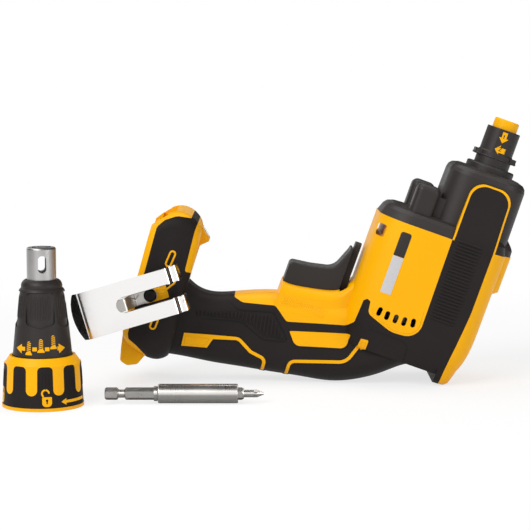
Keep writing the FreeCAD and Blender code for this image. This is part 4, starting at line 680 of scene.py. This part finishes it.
# Line of the groove of the seam, drawn as a bead of painted shade
SEAM_LINE = ((-41.5, -70.7, 0), (-39.1, -68, 1.5), (-18.1, -67.7, 4), (-13.7, -70.8, 4), (-12.5, -81.6, 0))
SEAM_BEAD = (0.4, 0.2)
VENT_LINE = ((-41.6, -52, 0), (-41.4, -57.8, 3.2), (-26.4, -63.3, 15), (-11.6, -62.3, 8), (-12.3, -44, 0))
VENT_BEAD = (0.6, 0.2)
GUARD_RIBS = 22
GUARD_RIB_PITCH = 1.25
GUARD_RIB_START = (-92.0, -66.5)
GUARD_RIB_RUN = (-1.5, -6.5)
GUARD_BEAD = (0.42, 0.18)
FOOT_SLOTS = (((-165.9, -64.2), (-166.3, -70.7)), ((-160.6, -80.0), (-165.6, -87.5)),
              ((-162.6, -103.4), (-162.8, -109.7)))
FOOT_SLOT_HALF = 1.6
FOOT_SLOT_RIM = 0.3
FOOT_SLOT_PROUD = 0.05
SLOT_RIM_BEAD = (0.65, 0.25)
LABEL_SPAN = (-41.0, -34.4)
LABEL_DARK = (-20.3, -5.3)
LABEL_DARK_ROUND = 1.6
LABEL_PALE = (-43.9, -20.5)
LABEL_PALE_ROUND = 0.4
LABEL_PROUD = 0.12
INLAY_HALF = 1.0
INLAY_LIP = 0.5
INLAY_PROUD = 0.12
LIP_BEAD = (0.6, 0.25)
INSET_BEAD = (0.35, 0.0)
PALM_BLOCK = ((-142.9, -117.4), (-127.3, -113.4), (-125.6, -107.2))
PALM_STRIP = ((-143.6, -110.2, 0), (-110.9, -101.7, 5), (-101.4, -106.8, 6), (-91.7, -108.2, 3.5),
              (-90, -124, 0))
WEB_STRIP = ((-75.4, -124, 0), (-76.9, -104.2, 4), (-44.6, -92.9, 9), (-41, -81.5, 0))
WEB_TAB = ((-40, -83), (-37.1, -81.6), (-36.7, -80.9), (-36.9, -75.2), (-37.5, -74.6), (-41.6, -75.1))
WEB_TAB_INSET = ((-40.5, -76.6, 0.5), (-38.2, -76.2, 0.5), (-38.3, -80.6, 0.5), (-40.3, -81.4, 0.5))
PALM_INSET = ((-142, -110.8, 0.6), (-141, -115.6, 0.6), (-128.6, -112.3, 0.6), (-127.4, -107.6, 0.6))
WINDOW_PANEL = ((-83.4, -86.7, 0.6), (-47.9, -75.6, 0.8), (-47.6, -85.1, 4.5), (-77.2, -94.2, 5))


def stripe_ribs(where, node):
    """Fine ribs across the grip stripe along the barrel."""
    lines = []
    for i in range(STRIPE_RIBS):
        z = STRIPE_TOP - STRIPE_PITCH * i
        lines.append(((STRIPE_SPAN[0], z), (STRIPE_SPAN[1], z)))
    beads(node + "_stripe_ribs", lines, where, "grip_rubber", STRIPE_BEAD, thinning=STRIPE_THINNING)


def grip_panel(where, node):
    """The ribbed panel for the fingers, with a near-black bead of painted shade for the groove along its edge."""
    loop = rounded(GRIP_PANEL)
    # Painted shade: the groove at the panel's edge, as a near-black bead
    beads(node + "_panel_edge_shade", [rounded(PANEL_EDGE, False)], where, "inner_plastic", PANEL_EDGE_BEAD)
    step = Vector((GRIP_RIB_WAY.y, -GRIP_RIB_WAY.x)) * GRIP_RIB_PITCH
    lines = []
    for i in range(GRIP_RIBS):
        for a, b in crossings(loop, GRIP_RIB_START + step * i, GRIP_RIB_WAY):
            if (b - a).length > 3 * GRIP_RIB_INSET:
                inset = GRIP_RIB_WAY * GRIP_RIB_INSET
                lines.append((a + inset, b - inset))
    beads(node + "_panel_ribs", lines, where, "grip_rubber", GRIP_RIB_BEAD)


def housing_lines(where, node):
    """Raised lines of the mould, round the vents and on the guard."""
    beads(node + "_vent_line", [rounded(VENT_LINE, False)], where, "amber_plastic", VENT_BEAD)
    lines = []
    for i in range(GUARD_RIBS):
        start = Vector(GUARD_RIB_START) + Vector((GUARD_RIB_PITCH * i, 0))
        lines.append((start, start + Vector(GUARD_RIB_RUN)))
    beads(node + "_guard_ribs", lines, where, "amber_plastic", GUARD_BEAD)


def foot_slot(middle_a, middle_b, half):
    """Outline of a slot with round ends about two points."""
    a, b = Vector(middle_a), Vector(middle_b)
    turn = math.degrees(math.atan2(b.y - a.y, b.x - a.x))
    far = arc(b, half, turn - 90, turn + 90, 8)
    near = arc(a, half, turn + 90, turn + 270, 8)
    return far + near


def foot_slots(where, node):
    """Slots in the foot's side, each with an amber rim, their shaded hollows given as flat near-black marks of
    painted shade.
    """
    rims = [foot_slot(a, b, FOOT_SLOT_HALF) for a, b in FOOT_SLOTS]
    beads(node + "_slot_rims", rims, where, "amber_plastic", SLOT_RIM_BEAD, True)
    for i, (a, b) in enumerate(FOOT_SLOTS):
        # Painted shade: a flat near-black mark for the shaded hollow of each slot
        inside = foot_slot(a, b, FOOT_SLOT_HALF - FOOT_SLOT_RIM)
        marks("%s_slot_%d" % (node, i), [inside], where, "inner_plastic", FOOT_SLOT_PROUD)


def inlays(where, node):
    """The amber inlays of the grip with their smooth bends, each in a thin lip of rubber."""
    upper, lower = band(rounded(PALM_STRIP, False), INLAY_HALF)
    start = next(i for i, point in enumerate(lower) if point[0] > PALM_BLOCK[-1][0])
    palm = list(PALM_BLOCK) + lower[start:] + upper[::-1]
    left, right = band(rounded(WEB_STRIP, False), INLAY_HALF)
    web = right + list(WEB_TAB) + left[::-1]
    for name, loop in (("palm", palm), ("web", web), ("window", rounded(WINDOW_PANEL))):
        marks("%s_%s_inlay" % (node, name), [loop], where, "amber_plastic", INLAY_PROUD)
        beads("%s_%s_lip" % (node, name), [outset(loop, INLAY_LIP)], where, "grip_rubber", LIP_BEAD, True)
    for name, loop in (("palm", PALM_INSET), ("web", WEB_TAB_INSET)):
        beads("%s_%s_inset" % (node, name), [rounded(loop)], where, "amber_plastic", INSET_BEAD, True)


def label_outline(span, low_round, high_round):
    """A label's outline across the barrel, with its own rounding at each end."""
    low, high = LABEL_SPAN
    return rounded(((low, span[0], low_round), (high, span[0], low_round), (high, span[1], high_round),
                    (low, span[1], high_round)))


def barrel_label(where, node):
    """A plain label in two tones on the barrel."""
    dark = label_outline(LABEL_DARK, 0, LABEL_DARK_ROUND)
    pale = label_outline(LABEL_PALE, LABEL_PALE_ROUND, 0)
    marks(node + "_label_dark", [dark], where, "black_plastic", LABEL_PROUD)
    marks(node + "_label_pale", [pale], where, "satin_steel", LABEL_PROUD, material=LABEL_FOIL)


def detail_housing():
    """The moulded details of both half shells, and the label on the left one."""
    for side, name in ((-1, "left"), (1, "right")):
        skin = (from_side(side), surface_of(name + "_overmould"), "housing")
        shell = (from_side(side), surface_of(name + "_housing", name + "_overmould"), "housing")
        stripe_ribs(skin, name)
        grip_panel(skin, name)
        housing_lines(shell, name)
        # Painted shade: the groove of the seam, as a near-black bead
        beads(name + "_seam_shade_line", [rounded(SEAM_LINE, False)], skin, "inner_plastic", SEAM_BEAD)
        foot_slots(shell, name)
        inlays(shell, name)
    left_shell = (from_side(-1), surface_of("left_housing", "left_overmould"), "housing")
    barrel_label(left_shell, "left")


# Printed marks on the nose

ARROW_DOWN = ((-1.6, 3.4), (1.6, 3.4), (1.6, -0.2), (3.1, -0.2), (0, -3.4), (-3.1, -0.2), (-1.6, -0.2))
NOSE_ARROWS = ((0.3, 67.2, 0), (0.5, 59.4, -90))
NOSE_ARROW_PROUD = 0.06
NOSE_DIGIT_PROUD = 0.1
NOSE_DIGIT_SCALE = 0.75
NOSE_DIGIT_LIFT = 0.6
NOSE_MARK_STEP = 0.8
NOSE_REACH = 10.4
NOSE_LIP_HEIGHT = 53.8
NOSE_LIP_STEPS = 90
NOSE_LIP_BEAD = (0.7, 0.35)


def digit_one():
    """Outline of a 1, before it is scaled."""
    return [(-0.9, 1.1), (0.25, 2.0), (0.25, -1.6), (-0.45, -1.6), (-0.45, 1.0), (-0.9, 0.55)]


def digit_two():
    """Outline of a 2, before it is scaled."""
    outer = arc((0, 0.8), 1.1, 170, -30, 10)
    inner = arc((0, 0.8), 0.5, -40, 170, 10)
    return outer + [(-0.3, -1.0), (1.1, -1.0), (1.1, -1.6), (-1.2, -1.6), (-1.2, -1.2)] + inner


def on_nose():
    """Where a piece lies on the nose."""
    return round_axis(TOOL, NOSE_REACH), surface_of("nose_socket"), "housing"


def nose_lip():
    """The rolled edge round the foot of the nose."""
    turn = 2 * math.pi * NOSE_REACH
    ring = [(turn * i / NOSE_LIP_STEPS, NOSE_LIP_HEIGHT) for i in range(NOSE_LIP_STEPS)]
    beads("nose_lip", [ring], on_nose(), "black_plastic", NOSE_LIP_BEAD, True)


def nose_marks():
    """Two arrows for fitting the nose cone: 1 push on, 2 turn."""
    where = on_nose()
    for number, ((arc_at, height, turn), digit) in enumerate(zip(NOSE_ARROWS, (digit_one, digit_two)), 1):
        arrow = turned_by(ARROW_DOWN, turn, (arc_at, height))
        marks("nose_arrow_%d" % number, [arrow], where, "amber_plastic", NOSE_ARROW_PROUD, NOSE_MARK_STEP)
        points = [(x * NOSE_DIGIT_SCALE, y * NOSE_DIGIT_SCALE + NOSE_DIGIT_LIFT) for x, y in digit()]
        figure = turned_by(points, 0, (arc_at, height))
        marks("nose_digit_%d" % number, [figure], where, "black_plastic", NOSE_DIGIT_PROUD, NOSE_MARK_STEP)


detail_housing()
nose_lip()
nose_marks()


# Belt clip, bent from sheet: x along the clip from its screw, y across it, z out from the foot

CLIP_TURN = 35.9
CLIP_THICK = 1.4
CLIP_HALF = 14.2
CLIP_SLOT = 4.5
CLIP_SLOT_END = 20.0
CLIP_END_ROUND = 19.4
CLIP_FACE = 12.25
CLIP_PATH = ((-21.4, 3.6, 0), (-20.1, 9.3, 1.7), (-16.7, 9.3, 1.7), (-13.8, CLIP_FACE, 1.7),
             (41.0, CLIP_FACE, 3.2), (48.4, 3.6, 0))
LEAF_HALF = 3.8
LEAF_PATH = ((30.0, 10.7, 0), (15.4, 10.7, 2.2), (10.0, 0.8, 2.2), (-4.2, 0.8, 0))
CLIP_EDGE = 0.25
CLIP_STRIP = 0.7
CLIP_BEND_STEPS = 8
SHARP_TURN = 1.0
NEAR = 0.01
LENGTH_SPARE = 1e-6


def clip_frame():
    """The clip's own frame: its origin on the foot under the screw."""
    low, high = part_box("belt_clip_screw")
    foot_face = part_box("belt_clip")[1][1]
    turn = math.radians(CLIP_TURN)
    along = TOOL.to_3x3() @ Vector((-math.cos(turn), 0, -math.sin(turn)))
    out = Vector((0, -1, 0))
    columns = Matrix((along, out.cross(along), out)).transposed().to_4x4()
    return Matrix.Translation(((low[0] + high[0]) / 2, foot_face, (low[2] + high[2]) / 2)) @ columns


def along_path(points, reach):
    """The point of a path at a distance along it."""
    for a, b in zip(points, points[1:]):
        step = (Vector(b) - Vector(a)).length
        if reach <= step:
            break
        reach -= step
    return Vector(a).lerp(Vector(b), reach / step)


def path_length(points):
    """A path's length from its first point to its last."""
    return sum((Vector(b) - Vector(a)).length for a, b in zip(points, points[1:]))


def bent_sheet(path, outline, place, thickness):
    """Sheet metal: a flat outline of (distance along the path, across) carried onto a bent path."""
    sheet = cut_shape([outline], CLIP_STRIP)
    length = path_length(path)
    for vertex in sheet.verts:
        at = along_path(path, min(max(vertex.co.x, 0.0), length - LENGTH_SPARE))
        vertex.co = Vector((at.x, vertex.co.y, at.y)) * MM
    bmesh.ops.recalc_face_normals(sheet, faces=sheet.faces)
    bmesh.ops.solidify(sheet, geom=sheet.faces[:], thickness=thickness * MM)
    bmesh.ops.recalc_face_normals(sheet, faces=sheet.faces)
    joined = [edge for edge in sheet.edges if len(edge.link_faces) == 2]
    sharp = [edge for edge in joined if edge.calc_face_angle() > SHARP_TURN]
    bmesh.ops.bevel(sheet, geom=sharp, offset=CLIP_EDGE * MM, segments=2, affect="EDGES")
    sheet.transform(place)
    return sheet


def clip_plate(place):
    """The clip's face with its two sprung arms and the slot between them."""
    path = rounded(CLIP_PATH, False, CLIP_BEND_STEPS)
    length = path_length(path)
    flat_start = next(i for i, point in enumerate(path) if point[1] > CLIP_FACE - NEAR)
    slot_end = path_length(path[:flat_start + 1]) + CLIP_SLOT_END - path[flat_start][0]
    middle = length - CLIP_END_ROUND
    turn = math.degrees(math.asin(CLIP_HALF / CLIP_END_ROUND))
    outline = arc((middle, 0), CLIP_END_ROUND, -turn, turn, 24)
    outline += [(0.0, CLIP_HALF), (0.0, CLIP_SLOT)]
    outline += arc((slot_end - CLIP_SLOT, 0), CLIP_SLOT, 90, -90, 12)
    outline += [(0.0, -CLIP_SLOT), (0.0, -CLIP_HALF)]
    return bent_sheet(path, outline, place, CLIP_THICK)


def clip_leaf(place):
    """The leaf under the face that the screw holds to the foot."""
    path = rounded(LEAF_PATH, False, CLIP_BEND_STEPS)
    length = path_length(path)
    outline = [(0.0, LEAF_HALF), (0.0, -LEAF_HALF)] + arc((length - LEAF_HALF, 0), LEAF_HALF, -90, 90, 16)
    return bent_sheet(path, outline, place, CLIP_THICK)


def belt_clip():
    """The clip's sheet and its leaf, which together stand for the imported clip."""
    place = clip_frame()
    # The leaf takes the darker steel of painted shade
    for name, sheet, steel in (("belt_clip_sheet", clip_plate(place), CLIP_STEEL),
                               ("belt_clip_leaf", clip_leaf(place), SHADED_LEAF_STEEL)):
        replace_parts(keep(name, smooth_mesh(name, sheet), steel, "housing", "bright_steel"), "belt_clip")


def star(radius, depth, points):
    """Outline of a lobed socket."""
    turns = [math.pi * i / points for i in range(2 * points)]
    return [((radius - depth * (i % 2)) * math.cos(turn), (radius - depth * (i % 2)) * math.sin(turn))
            for i, turn in enumerate(turns)]


CLIP_PAD = ((-4.5, -4.5, 1), (10.5, -4.5, 1), (10.5, 6.0, 1), (-4.5, 6.0, 1))
CLIP_PAD_PROUD = 0.08
SOCKET_RADIUS = 1.75
SOCKET_LOBE = 0.45
SOCKET_LOBES = 6
SOCKET_PROUD = 0.03
SOCKET_STEP = 0.8
SOCKET_SINK = 0.2


def clip_screw():
    """The lobed socket in the clip's screw, as a flat near-black star of painted shade, and the amber pad that its
    boss stands on.
    """
    low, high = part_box("belt_clip_screw")
    middle = TOOL.inverted() @ ((Vector(low) + Vector(high)) / 2) / MM
    socket = turned_by(star(SOCKET_RADIUS, SOCKET_LOBE, SOCKET_LOBES), 0, (middle.x, middle.z))
    head = (from_side(-1), surface_of("belt_clip_screw"), "housing")
    # Painted shade: the hollow of the socket, as a flat near-black star
    marks("clip_screw_socket_shade", [socket], head, "inner_plastic", SOCKET_PROUD, SOCKET_STEP, SOCKET_SINK)
    pad = turned_by(rounded(CLIP_PAD), CLIP_TURN, (middle.x, middle.z))
    foot = (from_side(-1), surface_of("left_housing", "left_overmould"), "housing")
    marks("clip_screw_pad", [pad], foot, "amber_plastic", CLIP_PAD_PROUD)


belt_clip()
clip_screw()


# Spring of the dog clutch

COIL_WELD = 1e-6


def clutch_spring():
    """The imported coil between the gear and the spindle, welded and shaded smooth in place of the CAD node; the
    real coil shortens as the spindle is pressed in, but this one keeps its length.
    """
    coil = bmesh.new()
    coil.from_mesh(NODES["clutch_spring"].data)
    bmesh.ops.remove_doubles(coil, verts=coil.verts, dist=COIL_WELD)
    mesh = smooth_mesh("clutch_spring_coil", coil)
    slot = SLOT_OF["clutch_spring"]
    piece = keep("clutch_spring_coil", mesh, FINISHES[slot], BODY_OF["clutch_spring"], slot)
    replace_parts(piece, "clutch_spring")
    along = TOOL.to_3x3() @ Vector((0, 0, 1))
    ends = sorted((vertex.co for vertex in mesh.vertices), key=along.dot)
    length = along.dot(ends[-1] - ends[0])
    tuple(ends[0])
    1 - JOINTS["spindle_press"]["range_m"][1] / length
    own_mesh(piece)


clutch_spring()


# Ribs and printed marks of the nose cone

RING_REACH = 14.6
RING_PANELS = 5
RING_PANEL_TURN = 2.0
RING_RIBS = 9
RING_RIB_PITCH = 1.55
RING_RIB_SPAN = (50.0, 65.0)
RING_RIB_CURVE = 0.16
RING_RIB_BEAD = (0.42, 0.12)
DEPTH_REACH = 16.3
DEPTH_HEIGHT = 34.8
DEPTH_BAR = 1.1
DEPTH_HEAD = 2.7
DEPTH_ARROWS = {"left": (-15.4, -8.4), "right": (16.2, 10.7)}
DEPTH_BARS = ((-3.8, -1.2), (3.3, 5.8))
DEPTH_PROUD = 0.08
DEPTH_SCREWS = ((-6.0, 31.4), (1.1, 32.9), (8.3, 34.7))
SCREW_SIDE = ((2.0, 0), (2.0, 0.7), (1.2, 1.8), (1.2, 6.9), (0.5, 7.7))
THREAD_TURNS = 5
THREAD_START = 1.9
THREAD_PITCH = 1.1
THREAD_HALF = 1.35
THREAD_RISE = 0.8
THREAD_WIDTH = 0.42
THREAD_PROUD = 0.16
CONE_MARK_STEP = 0.6
ARROW_HEAD = 0.85
COLLAR_REACH = 23.3
COLLAR_FINGERS = 9
COLLAR_TURN = -10.0
PAD_RIBS = 5
PAD_RIB_PITCH = 1.9
PAD_RIB_SPAN = (11.0, 23.0)
PAD_RIB_BEAD = (0.34, 0.14)
PADLOCKS = (("padlock_open", 5.0, True), ("padlock_shut", -30.0, False))
PADLOCK_LOW = 2.9
PADLOCK_HALF = 2.8
PADLOCK_TALL = 5.6
# A shackle's middle aside and above the body's foot, and its first and last angle
SHACKLE_SHUT = (0.0, 6.6, -25, 205)
SHACKLE_OPEN = (0.9, 7.6, 0, 238)
SHACKLE_OUTER = 2.5
SHACKLE_INNER = 1.5
UNLOCK_ARROW = (13.5, 34.0, 5.2, 1.9, 0.8)
LOCK_PROUD = 0.12


def ring_ribs():
    """Fine upright ribs in the depth ring's finger panels."""
    lines = []
    for panel in range(RING_PANELS):
        middle = math.radians(RING_PANEL_TURN + 360 / RING_PANELS * panel) * RING_REACH
        for rib in range(RING_RIBS):
            aside = (rib - (RING_RIBS - 1) / 2) * RING_RIB_PITCH
            low = RING_RIB_SPAN[0] + RING_RIB_CURVE * abs(aside)
            lines.append(((middle + aside, low), (middle + aside, RING_RIB_SPAN[1])))
    ring = (round_axis(CONE, RING_REACH), surface_of("depth_ring"), "depth_setter")
    beads("depth_ring_ribs", lines, ring, "black_plastic", RING_RIB_BEAD)


def collar_ribs():
    """Faint upright ribs on the collar's grip between the fingers."""
    lines = []
    for pad in range(COLLAR_FINGERS):
        middle = math.radians(COLLAR_TURN + 360 / COLLAR_FINGERS * (pad + 0.5)) * COLLAR_REACH
        for rib in range(PAD_RIBS):
            aside = (rib - (PAD_RIBS - 1) / 2) * PAD_RIB_PITCH
            lines.append(((middle + aside, PAD_RIB_SPAN[0]), (middle + aside, PAD_RIB_SPAN[1])))
    collar = (round_axis(CONE, COLLAR_REACH), surface_of("collar_grip"), "lock")
    beads("collar_ribs", lines, collar, "grip_rubber", PAD_RIB_BEAD)


def screw_mark(at, low):
    """A screw standing on its head: head, shank and point."""
    right = [(at + x, low + z) for x, z in SCREW_SIDE]
    left = [(at - x, low + z) for x, z in reversed(SCREW_SIDE)]
    return right + left


def thread_mark(at, low):
    """Slanted thread lines across a screw's shank."""
    lines = []
    for turn in range(THREAD_TURNS):
        height = low + THREAD_START + THREAD_PITCH * turn
        far = height + THREAD_RISE
        lines.append([(at - THREAD_HALF, height), (at + THREAD_HALF, far),
                      (at + THREAD_HALF, far + THREAD_WIDTH), (at - THREAD_HALF, height + THREAD_WIDTH)])
    return lines


def arrow_mark(tip, tail, height, half_head, half_bar):
    """An arrow along the arc from its tail to its tip."""
    back = tip + math.copysign(2.0 * half_head * ARROW_HEAD, tail - tip)
    return [(tip, height), (back, height + half_head), (back, height + half_bar), (tail, height + half_bar),
            (tail, height - half_bar), (back, height - half_bar), (back, height - half_head)]


def padlock_mark(at, low, lifted):
    """A padlock's body with a keyhole, and its shackle, swung open when lifted."""
    left, right, top = at - PADLOCK_HALF, at + PADLOCK_HALF, low + PADLOCK_TALL
    body = rounded(((left, low, 2.2), (right, low, 2.2), (right, top, 0.5), (left, top, 0.5)))
    keyhole = arc((at, low + 3.6), 0.75, -60, 240, 10) + [(at - 0.4, low + 1.6), (at + 0.4, low + 1.6)]
    aside, height, first, last = SHACKLE_OPEN if lifted else SHACKLE_SHUT
    middle = (at - aside, low + height)
    outer = arc(middle, SHACKLE_OUTER, first, last, 16)
    inner = arc(middle, SHACKLE_INNER, last, first, 16)
    return [body, keyhole], [outer + inner]


def cone_marks():
    """Printed marks: screws at three depths over a two-way arrow, padlocks and the way to unlock."""
    ring = (round_axis(CONE, DEPTH_REACH), surface_of("depth_ring"), "depth_setter")
    outlines = {}
    for way, (tip, tail) in DEPTH_ARROWS.items():
        outlines["depth_arrow_" + way] = arrow_mark(tip, tail, DEPTH_HEIGHT, DEPTH_HEAD, DEPTH_BAR)
    low, high = DEPTH_HEIGHT - DEPTH_BAR, DEPTH_HEIGHT + DEPTH_BAR
    for number, (start, end) in enumerate(DEPTH_BARS):
        outlines["depth_bar_%d" % number] = [(start, low), (end, low), (end, high), (start, high)]
    for number, (at, foot) in enumerate(DEPTH_SCREWS):
        outlines["depth_screw_%d" % number] = screw_mark(at, foot)
    for name, outline in outlines.items():
        marks(name, [outline], ring, "amber_plastic", DEPTH_PROUD, CONE_MARK_STEP)
    threads = [line for at, foot in DEPTH_SCREWS for line in thread_mark(at, foot)]
    marks("depth_screw_threads", threads, ring, "black_plastic", THREAD_PROUD, CONE_MARK_STEP)
    collar = (round_axis(CONE, COLLAR_REACH), surface_of("collar_grip", "locking_collar"), "lock")
    for name, at, lifted in PADLOCKS:
        for part, loops in zip(("body", "shackle"), padlock_mark(at, PADLOCK_LOW, lifted)):
            marks("%s_%s" % (name, part), loops, collar, "amber_plastic", LOCK_PROUD, CONE_MARK_STEP)
    arrow = arrow_mark(*UNLOCK_ARROW)
    marks("unlock_arrow", [arrow], collar, "amber_plastic", LOCK_PROUD, CONE_MARK_STEP)


ring_ribs()
collar_ribs()
cone_marks()

# Floor, light and camera

IMAGE = 530
FOCAL_PIXELS = 1866
SENSOR = 36.0
CAMERA_REACH = 1119.0
VIEW_DROP = 6.5
AIM_FROM_SEAM = (-122.4, -32.6, -11.7)
FLOOR_REACH = 6.0
FLOOR_PAPER = (0.92, 0.92, 0.92, 1)
WHITE = (1, 1, 1, 1)
GLOW_NEAR = (0.2, 0.72)
GLOW_FAR = (0.55, 1.0)
WORLD_LIGHT = 0.30
LAMP_AIM = Vector((0, 0, 0.07))
# Name, place, width, height and power
SOFTBOXES = (
    ("key_softbox", (-0.75, -0.95, 0.95), 0.9, 0.7, 16.0),
    ("top_softbox", (0.10, 0.15, 1.25), 1.1, 0.8, 6.0),
    ("fill_softbox", (1.05, -0.75, 0.45), 0.5, 0.8, 4.0),
)
FLAG_BLACK = 0.01
# Grey of the card of painted floor shade under the bit holder
SHADE_CARD_GREY = 0.27


def add_camera():
    """A long lens in front of the tool's left side, looking a little down."""
    drop = math.radians(VIEW_DROP)
    back = Vector((0, -math.cos(drop), math.sin(drop)))
    data = bpy.data.cameras.new("camera")
    data.sensor_fit = "HORIZONTAL"
    data.sensor_width = SENSOR
    data.lens = SENSOR * FOCAL_PIXELS / IMAGE
    camera = linked("camera", data)
    camera.location = TOOL.translation + Vector(AIM_FROM_SEAM) * MM + back * (CAMERA_REACH * MM)
    camera.rotation_mode = "QUATERNION"
    camera.rotation_quaternion = (-back).to_track_quat("-Z", "Y")
    bpy.context.scene.camera = camera


def seen_directly(wire):
    """1 for what the camera, a mirror or glass sees, and 0 for light on its way to the object."""
    path = wire.node("ShaderNodeLightPath", output="Is Camera Ray")
    seen = path + path.out("Is Glossy Ray") + path.out("Is Transmission Ray")
    return seen.math("MINIMUM", seen, 1.0)


def upright(x, y, z):
    """Corners of an upright card between two places along x or y, and two heights."""
    return [(x[0], y[0], z[0]), (x[1], y[1], z[0]), (x[1], y[1], z[1]), (x[0], y[0], z[1])]


def level(x, y, z):
    """Corners of a level card."""
    return [(x[0], y[0], z), (x[1], y[0], z), (x[1], y[1], z), (x[0], y[1], z)]


def add_card(name, corners, material):
    """A flat card of four corners."""
    mesh = bpy.data.meshes.new(name)
    mesh.from_pydata(corners, [], [(0, 1, 2, 3)])
    card = linked(name, mesh)
    dress(card, material)
    return card


def add_floor():
    """A pale floor that keeps part of the shadow and otherwise melts into the white background."""
    material = bpy.data.materials.new("floor_paper")
    wire = bare_tree(material)
    paper = wire.node("ShaderNodeBsdfDiffuse", {}, {"Color": FLOOR_PAPER})
    glow = wire.node("ShaderNodeEmission", {}, {"Color": WHITE, "Strength": 1.0})
    place = wire.node("ShaderNodeTexCoord", output="Object")
    reach = place.node("ShaderNodeVectorMath", {"operation": "LENGTH"}, {0: place}, "Value")
    far = reach.node("ShaderNodeMapRange", {"interpolation_type": "SMOOTHSTEP"},
                     {"Value": reach, "From Min": GLOW_NEAR[0], "From Max": GLOW_FAR[0],
                      "To Min": GLOW_NEAR[1], "To Max": GLOW_FAR[1]})
    lifted = far * seen_directly(wire)
    surface = wire.node("ShaderNodeMixShader", {}, {0: lifted, 1: paper, 2: glow})
    wire.node("ShaderNodeOutputMaterial", {}, {"Surface": surface})
    span = (-FLOOR_REACH, FLOOR_REACH)
    floor = add_card("floor", level(span, span, 0), material)


def add_world():
    """White where it is seen, and a soft grey where it lights the object."""
    world = bpy.data.worlds.new("studio")
    wire = bare_tree(world)
    strength = WORLD_LIGHT + (1 - WORLD_LIGHT) * seen_directly(wire)
    light = wire.node("ShaderNodeBackground", {}, {"Color": WHITE, "Strength": strength})
    wire.node("ShaderNodeOutputWorld", {}, {"Surface": light})
    bpy.context.scene.world = world


def add_softbox(name, place, width, height, power):
    """A rectangular lamp that faces the middle of the object."""
    data = bpy.data.lights.new(name, "AREA")
    data.shape = "RECTANGLE"
    data.size = width
    data.size_y = height
    data.energy = power
    lamp = linked(name, data)
    lamp.location = place
    lamp.rotation_mode = "QUATERNION"
    lamp.rotation_quaternion = (LAMP_AIM - Vector(place)).to_track_quat("-Z", "Y")


def add_flag(name, corners, shade):
    """A black or grey card that only reflections see: black for dark edges on bright metal, grey for painted shade
    of the floor under the bit holder.
    """
    material = bpy.data.materials.new(name)
    wire = bare_tree(material)
    card_paint = wire.node("ShaderNodeBsdfDiffuse", {}, {"Color": (shade, shade, shade, 1)})
    wire.node("ShaderNodeOutputMaterial", {}, {"Surface": card_paint})
    card = add_card(name, corners, material)
    card.visible_camera = False
    card.visible_diffuse = False
    card.visible_shadow = False


FLAGS = {
    "left_flag": upright((-1.0, -1.0), (-1.0, 0.6), (0.02, 0.9)),
    "right_flag": upright((1.1, 1.1), (-0.5, 1.3), (0.02, 0.9)),
    "back_flag": upright((0.2, 1.3), (1.3, 1.3), (0.01, 0.8)),
    "high_flag": upright((-0.6, 0.6), (0.9, 0.9), (0.3, 1.1)),
    "clip_flag": upright((-0.16, -0.16), (-0.02, 0.2), (0.0003, 0.06)),
    "holder_flag": level((-0.14, 0.03), (-0.15, 0.02), 0.12),
}
# Painted shade: a grey card on the floor under the bit holder, seen only in reflections, stands in for the floor's
# shadow there; the card also takes real light and shadow
HOLDER_SHADE_CARD = level((-0.105, 0.03), (-0.17, -0.04), 0.0006)

add_camera()
add_floor()
add_world()
for softbox in SOFTBOXES:
    add_softbox(*softbox)
for flag_name, flag_corners in FLAGS.items():
    add_flag(flag_name, flag_corners, FLAG_BLACK)
add_flag("holder_shade_card", HOLDER_SHADE_CARD, SHADE_CARD_GREY)
bpy.context.scene.view_settings.view_transform = "Standard"
